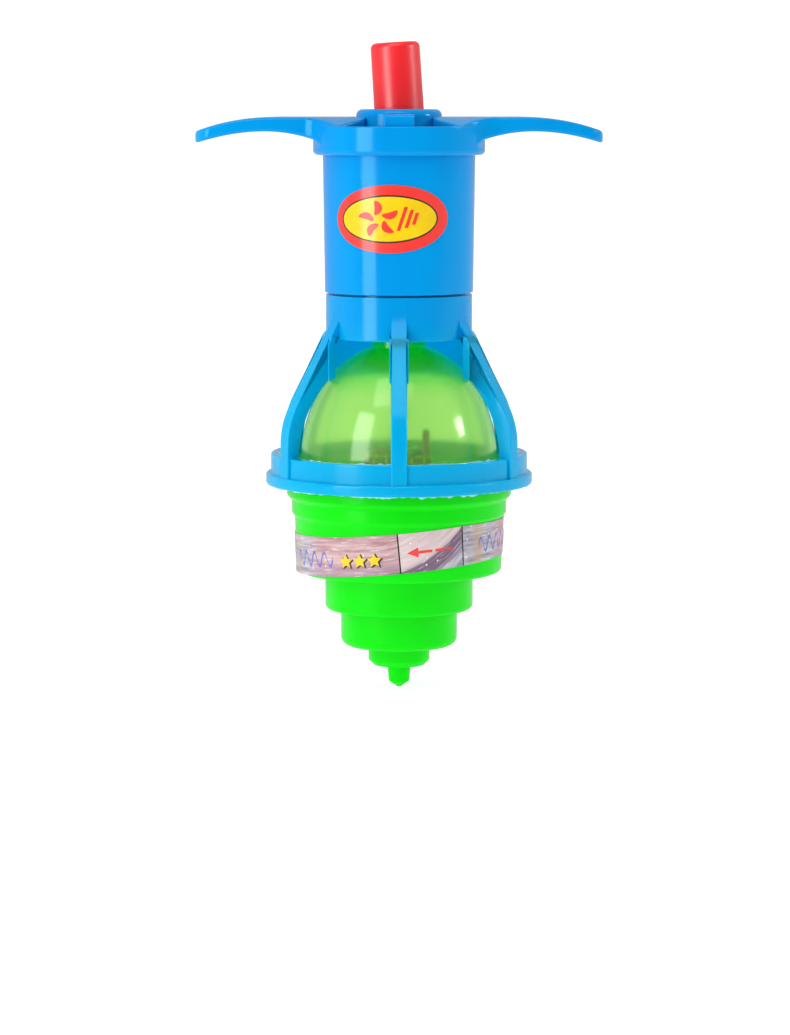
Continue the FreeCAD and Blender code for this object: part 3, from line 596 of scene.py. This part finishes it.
def wing_half_width(x):
    """Half the wing's width front to back: a flare at the hub, a taper and a round end."""
    if x < 9.4:
        return 4.4 + 4.8 * (x - 4.6) / 4.8
    if x < FLARE_X:
        return 4.4 + 4.8 * ((FLARE_X - x) / (FLARE_X - 9.4)) ** 2.2
    if x < 28.7:
        return 4.4 - (x - FLARE_X) * 0.0763
    return 3.4 * math.sqrt(max(0.0, 1 - ((x - 28.7) / 2.6) ** 2))


def wing_top(x):
    """Height of the wing's upper face."""
    return WING_TOP - (2.3 * ((x - 17.4) / 13.95) ** 2.4 if x > 17.4 else 0.0)


def wing_under(x):
    """Height of the wing's lower face, which meets the collar in a cove."""
    if x >= 20.6:
        return 86.2 - 1.85 * ((x - 20.6) / 10.75) ** 1.9
    if x >= 13.0:
        return 86.2 - 1.25 * ((20.6 - x) / 7.6) ** 2
    return max(82.9, 84.95 - (13.0 - x) * 0.79)


def wing_section(x):
    """Closed section of a wing at x, as (y, z) points, with softened edges."""
    nose = max(0.0, 0.5 - (WING_TIP - x))
    inset = 0.5 - math.sqrt(max(0.0, 0.25 - nose * nose))
    half = max(wing_half_width(x), 0.35)
    top, under = wing_top(x) - inset, wing_under(x) + inset
    soft = min(0.5, half * 0.45, (top - under) * 0.4)

    def crown(y):
        y = abs(y)
        return top + (0.12 * (1 - (y / 4) ** 2) if y < 4 else -0.259 * (y - 4))

    side = []
    for share in (0.0, 0.3, 0.6, 0.85):
        y = share * (half - soft)
        side.append((y, crown(y)))
    for step in range(5):
        t = math.pi / 2 * step / 4
        side.append((half - soft + soft * math.sin(t),
                     crown(half - soft) - soft + soft * math.cos(t)))
    for step in range(5):
        t = math.pi / 2 * step / 4
        side.append((half - soft + soft * math.cos(t), under + soft - soft * math.sin(t)))
    for share in (0.85, 0.6, 0.3, 0.0):
        side.append((share * (half - soft), under))
    return side + [(-y, z) for y, z in side[-2:0:-1]]


def wing(sign):
    """One finger wing, lofted from the hub to its tip."""
    places = [5.2 + 0.6 * i for i in range(40)]
    places += [WING_TIP - d for d in (2.4, 2.0, 1.6, 1.25, 0.95, 0.7, 0.5, 0.35, 0.22, 0.12,
                                      0.05, 0.01)]
    places = sorted(p for p in places if p < WING_TIP)
    points = []
    for x in places:
        points += [(sign * x, y, z) for y, z in wing_section(x)]
    count = len(wing_section(10))
    faces = [list(range(count)), list(range(len(points) - count, len(points)))]
    for k in range(len(places) - 1):
        for i in range(count):
            one, two = k * count, (k + 1) * count
            faces.append([one + i, one + (i + 1) % count, two + (i + 1) % count, two + i])
    return new_object("wing_loft", mesh_from("wing_loft", points, faces))


def make_wing_cap():
    """Collar, hub, front and back tabs and both wings as one moulding."""
    collar = lathe("wing_cap_shell", rounded([
        (11.76, COLLAR_LOW_Z, 0.1), (13.22, COLLAR_LOW_Z, 0.75), (13.22, 87.0, 0.22),
        (11.9, 87.0, 0.15), (11.1, 86.7, 0.1), (11.1, 86.0, 0), (11.76, 86.0, 0)]), segments=192)
    hub = lathe("hub", rounded([
        (HUB_BORE_R, HUB_LOW, 0.15), (6.6, HUB_LOW, 0.2), (6.6, HUB_TOP, 1.1),
        (HUB_BORE_R, HUB_TOP, 0.25)]), segments=128)
    tabs = []
    for sign in (-1, 1):
        outline = rounded([
            (5.6, SPOKE_LOW, 0), (5.6, 88.8, 0), (12.25, 88.8, 0.5), (12.25, SPOKE_LOW, 0)])
        tabs.append(plate("tab", outline, 4.6, 0.22, lambda a, t, b, s=sign: (t, s * a, b)))
    wings = []
    for sign in (-1, 1):
        well = lathe("well", rounded([
            (0, 80.0, 0), (11.74, 80.0, 0), (11.74, 86.0, 0), (11.12, 86.0, 0),
            (11.12, SPOKE_LOW, 0), (0, SPOKE_LOW, 0)]), segments=192)
        wings.append(combine(wing(sign), [well], "DIFFERENCE"))
    cap = combine(collar, [hub] + tabs + wings)
    bore_outline = [(0, 80.0), (HUB_BORE_R, 80.0), (HUB_BORE_R, 89.2), (0, 89.2)]
    bore = lathe("bore", bore_outline, segments=128)
    cap = combine(cap, [bore], "DIFFERENCE")
    cap.name = "wing_cap_shell"
    dress(cap, BLUE)
    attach(cap, "launcher")
    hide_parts("wing_cap")


# ---------------------------------------------------------------- cage
FIN_COUNT = 6
FIN_T = 2.4
PAD_T = 2.9
WEB_T = 2.3
WEB_ANGLES = (30, 90, 150)
SKIRT_START, SKIRT_SWEEP = -28.0, 236.0


def arc_points(start, middle, end, steps=14):
    """Points of the circle through three (a, b) points, from start to end."""
    (ax, ay), (bx, by), (cx, cy) = start, middle, end
    d = 2 * (ax * (by - cy) + bx * (cy - ay) + cx * (ay - by))
    a2, b2, c2 = ax * ax + ay * ay, bx * bx + by * by, cx * cx + cy * cy
    ux = (a2 * (by - cy) + b2 * (cy - ay) + c2 * (ay - by)) / d
    uy = (a2 * (cx - bx) + b2 * (ax - cx) + c2 * (bx - ax)) / d
    centre = Vector((ux, uy))
    first, last = Vector(start) - centre, Vector(end) - centre
    turn = last.angle_signed(first)
    arc = []
    for step in range(steps + 1):
        arm = first.copy()
        arm.rotate(Matrix.Rotation(turn * step / steps, 2))
        arc.append(centre + arm)
    return arc


def radial(angle):
    """Places (radius, offset, height) in the upright plane at an angle round the axis."""
    c, s = math.cos(math.radians(angle)), math.sin(math.radians(angle))
    return lambda a, t, b: (a * c - t * s, a * s + t * c, b)


def make_cage():
    """Sleeve, six fins with their root pads, guard ring and the half skirt at the back."""
    sleeve = lathe("cage_shell", rounded([
        (10.15, 54.5, 0.15), (11.27, 54.5, 0.18), (11.27, 61.2, 0.06), (10.2, 61.2, 0),
        (10.2, 64.0, 0.2), (9.3, 64.0, 0.2), (9.3, 59.8, 0.3), (10.15, 59.2, 0.3)]), segments=192)
    ring = lathe("ring", rounded([
        (18.2, 32.0, 0.15), (20.58, 32.0, 0.3), (20.58, 33.7, 0.5), (19.81, 33.7, 0.15),
        (19.81, 36.7, 0.22), (18.2, 36.7, 0.22)]), segments=240)
    fin_outline = rounded(
        [(10.9, 58.15, 0), (20.2, 42.02, 12), (20.2, 33.1, 0)], closed=False, steps=10)
    fin_outline += [Vector((18.6, 33.1)), Vector((18.3, 36.5))]
    fin_outline += arc_points((18.2, 36.9), (16.55, 43.6), (12.8, 48.6))
    fin_outline += [Vector((12.8, 54.55)), Vector((10.9, 54.8))]
    pad_outline = [(12.0, 55.1), (12.0, 48.6), (13.2, 48.4), (13.2, 54.1), (12.6, 55.1)]
    web_outline = [(11.3, 48.45), (13.0, 48.45), (13.0, 54.6), (11.3, 54.6)]
    extras = [ring]
    for index in range(FIN_COUNT):
        angle = -90 + 60 * index
        extras.append(plate("fin", fin_outline, FIN_T, 0.2, radial(angle)))
        extras.append(plate("pad", pad_outline, PAD_T, 0.1, radial(angle)))
        if angle in WEB_ANGLES:
            extras.append(plate("web", web_outline, WEB_T, 0.0, radial(angle)))
    skirt = [(11.12, 48.45), (11.75, 48.45), (11.75, 55.1), (10.97, 55.1), (10.97, 54.5),
             (11.12, 54.5)]
    extras.append(lathe("skirt", skirt, segments=128, start=SKIRT_START, sweep=SKIRT_SWEEP))
    cage = combine(sleeve, extras)
    cage.name = "cage_shell"
    dress(cage, CYAN)
    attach(cage, "launcher")
    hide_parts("cage")


# ---------------------------------------------------------------- plunger
LEAN = math.radians(3.6)


def make_plunger():
    """Hollow leaning plunger with a softened thumb end."""
    top = HUB_TOP + 10.4 / math.cos(LEAN) - 3.14 * math.tan(LEAN)
    outline = rounded([
        (2.5, 81.62, 0.1), (5.6, 81.62, 0.2), (5.6, 83.52, 0.2), (3.84, 83.52, 0.15),
        (3.76, top, 0.8), (0, top, 0), (0, top - 2.0, 0), (2.5, top - 2.6, 0.3)])
    plunger = lathe("plunger_shell", outline, segments=128)
    pivot = Matrix.Translation((0, 0, HUB_TOP * MM))
    plunger.data.transform(pivot @ Matrix.Rotation(-LEAN, 4, "Y") @ pivot.inverted())
    dress(plunger, RED)
    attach(plunger, "plunger")
    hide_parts("plunger")


# ---------------------------------------------------------------- main spring
WIRE_R = 0.4
SPRING_TURNS = 8.5


def make_main_spring():
    """Coil from the barrel's floor to the carrier."""
    low, high = node_box("main_spring")
    radius = high.x - WIRE_R
    first, last = low.z + WIRE_R, high.z - WIRE_R
    steps, around = 36, 10
    count = int(SPRING_TURNS * steps)
    points = []
    for step in range(count + 1):
        turn = 2 * math.pi * step / steps
        z = first + (last - first) * step / count
        for k in range(around):
            a = 2 * math.pi * k / around
            r = radius + WIRE_R * math.cos(a)
            points.append((r * math.cos(turn), r * math.sin(turn), z + WIRE_R * math.sin(a)))
    faces = [list(range(around)), list(range(count * around, (count + 1) * around))]
    for step in range(count):
        one, two = step * around, (step + 1) * around
        for k in range(around):
            after = (k + 1) % around
            faces.append([one + k, two + k, two + after, one + after])
    spring = new_object("main_spring_coil", mesh_from("main_spring_coil", points, faces))
    dress(spring, SPRING)
    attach(spring, "launcher")
    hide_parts("main_spring")
    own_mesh(spring)


# ---------------------------------------------------------------- the top
def make_top_body():
    """Stepped shell with its rim, ridges, softened steps and blunt tip."""
    outline = rounded([
        (0, 0, 0), (0.3, 0.03, 0), (1.6, 0.9, 0.25), (1.84, 3.55, 0.1), (3.95, 3.55, 0.1),
        (4.75, 4.35, 0.45), (4.75, 6.7, 0.08), (9.0, 6.7, 1.3), (9.02, 12.4, 0.08),
        (11.44, 12.4, 0.7), (11.46, 18.3, 0.08), (15.86, 18.3, 0.6), (16.14, 26.85, 0.1),
        (16.6, 27.5, 0.2), (16.6, 29.45, 0.15), (17.36, 30.2, 0.55), (17.36, 34.5, 0.2),
        (16.1, 34.5, 0.1), (16.1, 32.6, 0), (15.4, 32.6, 0), (15.4, 28.0, 0.2),
        (15.1, 27.4, 0.2), (14.9, 19.35, 0.5), (10.45, 19.3, 0.2), (10.45, 13.45, 0.5),
        (8.0, 13.4, 0.2), (8.0, 7.75, 0.5), (3.75, 7.7, 0.2), (3.75, 4.7, 0.4), (0, 4.7, 0)])
    shell = lathe("top_body_shell", outline, segments=224)
    dress(shell, GREEN)
    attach(shell, "top")
    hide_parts("top_body")


DOME_R, DOME_BASE, DOME_APEX, DOME_WALL = 15.2, 35.6, 53.8, 0.8


def ellipse_points(r_base, apex, r_from, r_to, steps):
    """Points on the dome's half-ellipse from one radius to another."""
    t0, t1 = math.asin(r_from / r_base), math.asin(r_to / r_base)
    turns = [t0 + (t1 - t0) * i / steps for i in range(steps + 1)]
    return [Vector((r_base * math.sin(t), DOME_BASE + (apex - DOME_BASE) * math.cos(t)))
            for t in turns]


def make_dome():
    """Clear dome with its seat, and the crown with the hexagonal drive socket."""
    r_in, apex_in = DOME_R - DOME_WALL, DOME_APEX - DOME_WALL
    outline = [Vector((0, 57.0)), Vector((4.2, 57.0))]
    outline += ellipse_points(DOME_R, DOME_APEX, 4.2, DOME_R, 48)
    outline += [Vector(p) for p in (
        (17.3, DOME_BASE), (17.3, 34.52), (15.9, 34.52), (15.9, 33.9), (r_in, 33.9))]
    outline += ellipse_points(r_in, apex_in, r_in, 0, 48)
    dome = lathe("dome_shell", outline, segments=192)
    flats = 4.56 / math.sqrt(3)
    socket = lathe("socket", [(0, 54.2), (flats, 54.2), (flats, 58.0), (0, 58.0)], segments=6)
    dome = combine(dome, [socket], "DIFFERENCE")
    dome.name = "dome_shell"
    dress(dome, DOME)
    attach(dome, "top")
    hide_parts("dome")


# ---------------------------------------------------------------- wrap label
LABEL_R = 16.0
LABEL_ROUND = 2 * math.pi * LABEL_R
LABEL_H = 6.05
LABEL_MID = 22.8
LABEL_SLOPE = 1.45 / LABEL_R
LABEL_TURN = math.radians(-5.0)
LABEL_TOP = 26.84
PANEL_REPEATS = 3
ARROW_PANEL = 37.0


def label_radius(z):
    """Outer radius of the drafted cylinder that the label lies on."""
    return 15.88 + 0.26 * (z - 18.9) / 7.95


def on_label(angle, across, lift):
    """Point of the label at an angle and a height across its width, from its middle."""
    # the print is square to the strip, so it leans where the strip climbs
    radians = math.radians(angle)
    radians += across / LABEL_R * LABEL_SLOPE * math.sin(radians - LABEL_TURN)
    climb = LABEL_SLOPE * LABEL_R * math.cos(radians - LABEL_TURN)
    z = min(LABEL_MID + climb + across, LABEL_TOP)
    r = label_radius(z) + lift
    return (r * math.cos(radians), r * math.sin(radians), z)


def label_material():
    """Streaked pink, mauve and silver print in panels with thin black rules, and painted glints
    as small white dots.
    """
    material, tree, shader = new_material("label_print_film")
    spot = split(tree, add(tree, "ShaderNodeTexCoord").outputs["UV"])
    height = spot["Y"]

    def maths(kind, one, two):
        node = add(tree, "ShaderNodeMath", operation=kind)
        for socket, value in zip(node.inputs, (one, two)):
            if isinstance(value, bpy.types.NodeSocket):
                tree.links.new(value, socket)
            else:
                socket.default_value = value
        return node.outputs[0]

    # millimetres along the strip from an arrow panel's left rule, in -23 to +10
    pitch = LABEL_ROUND / PANEL_REPEATS
    arrow_mm = ARROW_PANEL / 360.0 * LABEL_ROUND
    picture_mm = pitch - arrow_mm
    along = maths("MULTIPLY", spot["X"], LABEL_ROUND)
    along = maths("SUBTRACT", maths("MODULO", maths("ADD", along, picture_mm), pitch), picture_mm)

    # the swoosh climbs to the right; lift is the height over it
    share = maths("DIVIDE", maths("ADD", along, 4.5), 14.5)
    climb = maths("POWER", maths("MAXIMUM", share, 0), 2.2)
    lift = maths("SUBTRACT", height, climb)
    flow = add(tree, "ShaderNodeCombineXYZ")
    tree.links.new(maths("MULTIPLY", along, 0.06), flow.inputs["X"])
    tree.links.new(maths("MULTIPLY", lift, 3.2), flow.inputs["Y"])
    streak = noise(tree, 2.2, 5, 0.6, flow.outputs["Vector"])
    fine = noise(tree, 6.0, 4, 0.6, flow.outputs["Vector"])

    pink = mixed(tree, spread(tree, streak, 0, 1, 0.36, 0.66),
                 linear(178, 128, 134), linear(222, 192, 194))
    pink = mixed(tree, spread(tree, height, 0, 0.55, 0.8, 1.0), pink, linear(168, 112, 120))
    pink = mixed(tree, spread(tree, height, 0.75, 0, 0.0, 0.45), pink, linear(158, 126, 152))
    pale = mixed(tree, spread(tree, streak, 0, 1, 0.36, 0.66),
                 linear(206, 180, 182), linear(232, 216, 214))
    silver = mixed(tree, spread(tree, streak, 0, 1, 0.4, 0.6),
                   linear(146, 138, 156), linear(200, 194, 204))
    in_arrow = maths("GREATER_THAN", along, 0.0)
    ground = mixed(tree, in_arrow, pink, pale)
    under = spread(tree, lift, 1, 0, -0.06, 0.02)
    ground = mixed(tree, under, ground, linear(124, 98, 124))
    deeper = spread(tree, lift, 1, 0, -0.55, -0.38)
    ground = mixed(tree, deeper, ground, silver)
    # each picture panel starts silver, with a tan patch, and turns pink
    start = spread(tree, along, 1, 0, -17.5, -13.0)
    ground = mixed(tree, start, ground, silver)
    tan = maths("MULTIPLY", spread(tree, along, 0, 1, -21.6, -20.8),
                spread(tree, along, 1, 0, -19.4, -18.4))
    ground = mixed(tree, maths("MULTIPLY", tan, 0.5), ground, linear(196, 160, 116))
    ground = mixed(tree, spread(tree, fine, 0, 0.6, 0.56, 0.66), ground, linear(238, 230, 232))

    # painted glints: small white dots scattered over the print, in place of its sparkle
    spots = add(tree, "ShaderNodeCombineXYZ")
    tree.links.new(maths("MULTIPLY", spot["X"], 100.0), spots.inputs["X"])
    tree.links.new(maths("MULTIPLY", height, LABEL_H), spots.inputs["Y"])
    dots = add(tree, "ShaderNodeTexVoronoi")
    dots.inputs["Scale"].default_value = 0.7
    tree.links.new(spots.outputs["Vector"], dots.inputs["Vector"])
    painted_glint = maths("LESS_THAN", dots.outputs["Distance"], 0.085)
    ground = mixed(tree, painted_glint, ground, linear(250, 250, 252))

    rule_half = 0.11
    for edge in (0.0, arrow_mm - rule_half):
        near = maths("LESS_THAN", maths("ABSOLUTE", maths("SUBTRACT", along, edge), 0), rule_half)
        ground = mixed(tree, near, ground, linear(24, 22, 26))
    tree.links.new(ground, shader.inputs["Base Color"])
    shader.inputs["Roughness"].default_value = 0.35
    shader.inputs["Specular IOR Level"].default_value = 0.35
    bumped(tree, shader, fine, 0.15, 0.01)
    return material


def make_label():
    """Printed strip wrapped round the widest cylinder, its ends lapped at the back."""
    columns, rows = 360, 6
    first = 90.0
    points = []
    spots = []
    for column in range(columns + 1):
        angle = first + 360.0 * column / columns
        lap = 0.06 * max(0.0, 1 - (columns - column) / 8)
        for row in range(rows + 1):
            for lift in (0.0, FILM_T):
                points.append(on_label(angle, LABEL_H * (row / rows - 0.5), lift + lap))
                spots.append((column / columns, row / rows))
    stride = (rows + 1) * 2
    faces = []
    for column in range(columns):
        one, two = column * stride, (column + 1) * stride
        for row in range(rows):
            for side in (0, 1):
                a, b = row * 2 + side, row * 2 + 2 + side
                faces.append([one + a, two + a, two + b, one + b])
        for a in (0, rows * 2):
            faces.append([one + a, two + a, two + a + 1, one + a + 1])
    for start in (0, columns * stride):
        for row in range(rows):
            a = start + row * 2
            faces.append([a, a + 1, a + 3, a + 2])
    mesh = mesh_from("wrap_label_film", points, faces)
    layer = mesh.uv_layers.new(name="print")
    for loop in mesh.loops:
        u, v = spots[loop.vertex_index]
        offset = (first + 90.0) / 360.0
        layer.data[loop.index].uv = (u + offset, v)
    label = new_object("wrap_label_film", mesh)
    dress(label, label_material())
    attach(label, "top")
    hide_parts("wrap_label")


def flat_print(name, border, inner, caps, angle, low, high, material):
    """Thin closed print on the label: its border, points inside it and the faces over both."""
    flat = border + inner
    count = len(flat)
    points = []
    for lift in (low, high):
        for a, b in flat:
            points.append(on_label(angle + math.degrees(a / LABEL_R), b, lift))
    faces = list(caps)
    faces += [[count + i for i in face] for face in caps]
    for i in range(len(border)):
        after = (i + 1) % len(border)
        faces.append([i, after, count + after, count + i])
    mark = new_object(name, mesh_from(name, points, faces))
    dress(mark, material)
    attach(mark, "top")


def ribbon_print(name, lower, upper, angle, low, high, material):
    """Print between a lower and an upper edge that have the same number of points."""
    last = 2 * len(lower) - 1
    caps = [[i, i + 1, last - i - 1, last - i] for i in range(len(lower) - 1)]
    flat_print(name, lower + upper[::-1], [], caps, angle, low, high, material)


def bar(start, length, half, half_end):
    """Edges of a straight bar or wedge, with a point every few tenths of a millimetre."""
    steps = max(1, math.ceil(length / 0.4))
    lower, upper = [], []
    for step in range(steps + 1):
        a = start + length * step / steps
        width = half + (half_end - half) * step / steps
        lower.append((a, -width))
        upper.append((a, width))
    return lower, upper


def star_print(name, a, b, radius, angle, low, high, material):
    """Five-pointed star about a point."""
    outline = []
    for step in range(10):
        reach = radius if step % 2 == 0 else radius * 0.48
        turn = math.pi / 2 + math.pi * step / 5
        outline.append((a + reach * math.cos(turn), b + reach * math.sin(turn)))
    caps = [[i, (i + 1) % 10, 10] for i in range(10)]
    flat_print(name, outline, [(a, b)], caps, angle, low, high, material)


def wave(start, length, mid, swing, half, turns):
    """Edges of a wavy ribbon."""
    lower, upper = [], []
    steps = turns * 16
    for step in range(steps + 1):
        a = start + length * step / steps
        b = mid + swing * math.sin(2 * math.pi * turns * step / steps)
        width = half * (0.7 + 0.3 * math.cos(2 * math.pi * turns * step / steps))
        lower.append((a, b - width))
        upper.append((a, b + width))
    return lower, upper


BLUE_PRINT = printed("print_blue", linear(92, 108, 206), linear(120, 130, 214))


def make_prints():
    """Red dashed arrows that show which way to wind the top, blue waves and yellow stars."""
    ink, second_ink = FILM_T + INK_T, FILM_T + 2 * INK_T
    tip = 1.25
    strokes = [bar(tip, 1.65, 0.02, 0.78), bar(tip + 1.6, 2.2, 0.21, 0.21),
               bar(tip + 4.3, 1.4, 0.2, 0.2), bar(tip + 6.1, 0.95, 0.18, 0.18)]
    for repeat in range(PANEL_REPEATS):
        rule = -90 + 120.0 * repeat
        for index, (lower, upper) in enumerate(strokes):
            name = "arrow_%d_%d" % (repeat + 1, index + 1)
            ribbon_print(name, lower, upper, rule, FILM_T, ink, RED_PRINT)
        lower, upper = wave(-20.0, 9.2, -0.4, 1.05, 0.34, 4)
        name = "wave_%d" % (repeat + 1)
        ribbon_print(name, lower, upper, rule, FILM_T, ink, BLUE_PRINT)
        for index in range(3):
            a = -8.4 + 2.3 * index
            name = "star_%d_%d" % (repeat + 1, index + 1)
            star_print(name + "_shade", a + 0.22, -0.82, 1.3, rule, FILM_T, ink, BLACK_PRINT)
            star_print(name, a, -0.7, 1.15, rule, ink, second_ink, YELLOW_PRINT)


def make_flash(name, radius, root_z, edge_z, side, spare):
    """Thin uneven flash left standing on an edge of the cage's guard ring.

    side is 1 upward and -1 downward; spare is how often the edge is clean.
    """
    count = 420
    rough = [max(0.0, random.gauss(-spare, 0.24)) for _ in range(count)]
    points = []
    for i in range(count):
        reach = (rough[i - 1] + 2 * rough[i] + rough[(i + 1) % count]) / 4
        tip = edge_z + side * (reach - 0.01)
        turn = 2 * math.pi * i / count
        for r, z in ((radius - 0.05, root_z), (radius - 0.03, tip), (radius + 0.03, tip),
                     (radius + 0.05, root_z)):
            points.append((r * math.cos(turn), r * math.sin(turn), z))
    faces = []
    for i in range(count):
        one, two = 4 * i, 4 * ((i + 1) % count)
        for corner in range(4):
            after = (corner + 1) % 4
            faces.append([one + corner, two + corner, two + after, one + after])
    flash = new_object(name, mesh_from(name, points, faces))
    dress(flash, FLASH)
    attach(flash, "launcher")


# ---------------------------------------------------------------- CAD pieces kept as they are
def dress_cad_nodes():
    """Finishes for the inner pieces, whose CAD shapes stay."""
    looks = {
        "rotor": GREEN, "spring_carrier": WHITE, "carrier_screw": STEEL,
        "battery_holder": HOLDER, "pcb": board_material(), "pcb_screws": STEEL,
        "driver_chip": RESIN, "resistor": RESIN, "switch_post": STEEL, "switch_spring": COPPER,
        "contact_plus": BRASS, "contact_minus": BRASS, "led_leads": BRASS,
        "button_cell_1": NICKEL, "button_cell_2": NICKEL, "button_cell_3": NICKEL,
    }
    looks.update(LENSES)
    for node, material in looks.items():
        dress(NODES[node], material)


# ---------------------------------------------------------------- stage, lights, camera
def dimmed_in_reflections(tree, value, kept):
    """A brightness that falls to a share of itself where it is only seen mirrored.

    It stands in for the black flags that keep a studio's white walls out of glossy plastic.
    """
    rays = add(tree, "ShaderNodeLightPath")
    mirrored = add(tree, "ShaderNodeMath", operation="SUBTRACT", use_clamp=True)
    tree.links.new(rays.outputs["Is Glossy Ray"], mirrored.inputs[0])
    tree.links.new(rays.outputs["Is Transmission Ray"], mirrored.inputs[1])
    dimmed = add(tree, "ShaderNodeMath", operation="MULTIPLY")
    tree.links.new(spread(tree, mirrored.outputs[0], 1.0, kept, 0, 1), dimmed.inputs[0])
    if isinstance(value, float):
        dimmed.inputs[1].default_value = value
    else:
        tree.links.new(value, dimmed.inputs[1])
    return dimmed.outputs[0]


def make_floor():
    """Pale floor that sweeps up behind the object."""
    profile = [(-0.3, 0.0), (0.35, 0.0)]
    for step in range(1, 13):
        t = math.pi / 2 * step / 12
        profile.append((0.35 + 0.5 * math.sin(t), 0.5 - 0.5 * math.cos(t)))
    profile.append((0.85, 1.8))
    points = []
    for y, z in profile:
        points += [(-2.4, y, z), (2.4, y, z)]
    faces = [[2 * i, 2 * i + 1, 2 * i + 3, 2 * i + 2] for i in range(len(profile) - 1)]
    mesh = bpy.data.meshes.new("floor")
    mesh.from_pydata(points, [], faces)
    mesh.shade_smooth()
    floor = bpy.data.objects.new("floor", mesh)
    bpy.context.scene.collection.objects.link(floor)
    material, tree, shader = new_material("floor_pale")
    tone = spread(tree, noise(tree, 6, 3), 0, 1)
    tree.links.new(mixed(tree, tone, (0.44, 0.44, 0.44, 1), (0.47, 0.47, 0.47, 1)),
                   shader.inputs["Base Color"])
    shader.inputs["Roughness"].default_value = 0.7
    shader.inputs["Emission Color"].default_value = (1, 1, 1, 1)
    tree.links.new(dimmed_in_reflections(tree, 0.74, 0.2), shader.inputs["Emission Strength"])
    dress(floor, material)


def softbox(name, azimuth, elevation, distance, width, height, radiance):
    """Rectangular lamp aimed at the object's middle; azimuth 0 is the camera's side."""
    a, e = math.radians(azimuth), math.radians(elevation)
    away = Vector((math.sin(a) * math.cos(e), -math.cos(a) * math.cos(e), math.sin(e)))
    data = bpy.data.lights.new(name, "AREA")
    data.shape = "RECTANGLE"
    data.size = width
    data.size_y = height
    data.energy = radiance * math.pi * width * height
    lamp = bpy.data.objects.new(name, data)
    bpy.context.scene.collection.objects.link(lamp)
    lamp.location = Vector((0, 0, 0.05)) + away * distance
    lamp.rotation_mode = "QUATERNION"
    lamp.rotation_quaternion = away.to_track_quat("Z", "Y")


def make_lights():
    """White room, dim behind the camera; two softboxes and a soft top light."""
    world = bpy.data.worlds.new("studio")
    world.use_nodes = True
    tree = world.node_tree
    background = tree.nodes["Background"]
    heading = split(tree, add(tree, "ShaderNodeTexCoord").outputs["Generated"])
    room = spread(tree, heading["Y"], 0.3, 0.84, -0.75, 0.15)
    seen = add(tree, "ShaderNodeLightPath").outputs["Is Camera Ray"]
    white = add(tree, "ShaderNodeMix", data_type="FLOAT")
    tree.links.new(seen, white.inputs[0])
    tree.links.new(dimmed_in_reflections(tree, room, 0.3), white.inputs[2])
    white.inputs[3].default_value = 1.05
    tree.links.new(white.outputs[0], background.inputs["Strength"])
    background.inputs["Color"].default_value = (1, 1, 1, 1)
    bpy.context.scene.world = world
    softbox("left_box", -46, 13.5, 0.3, 0.115, 0.235, 5.0)
    softbox("right_box", 85, 18, 0.6, 0.13, 0.12, 14.0)
    softbox("top_box", -15, 62, 0.7, 0.5, 0.4, 2.2)


def make_camera():
    """Camera half a metre in front, a little above the object's middle, looking slightly down."""
    data = bpy.data.cameras.new("camera")
    data.sensor_width = 36.0
    data.lens = 112.9
    data.shift_x = -0.0039
    data.shift_y = -0.1448
    data.clip_start = 0.01
    camera = bpy.data.objects.new("camera", data)
    bpy.context.scene.collection.objects.link(camera)
    camera.location = (0, -0.5, 0.09)
    camera.rotation_euler = (math.radians(90 - 4.6), 0, 0)
    bpy.context.scene.camera = camera


random.seed(7)
make_camera()
make_floor()
make_lights()
bpy.context.scene.view_settings.view_transform = "Standard"
make_barrel()
make_oval_sticker()
make_wing_cap()
make_cage()
make_plunger()
make_main_spring()
make_top_body()
make_dome()
make_label()
make_prints()
make_flash("lower_flash", 20.3, 32.2, 32.0, -1, 0.05)
make_flash("upper_flash", 18.5, 36.4, 36.7, 1, 0.12)
dress_cad_nodes()
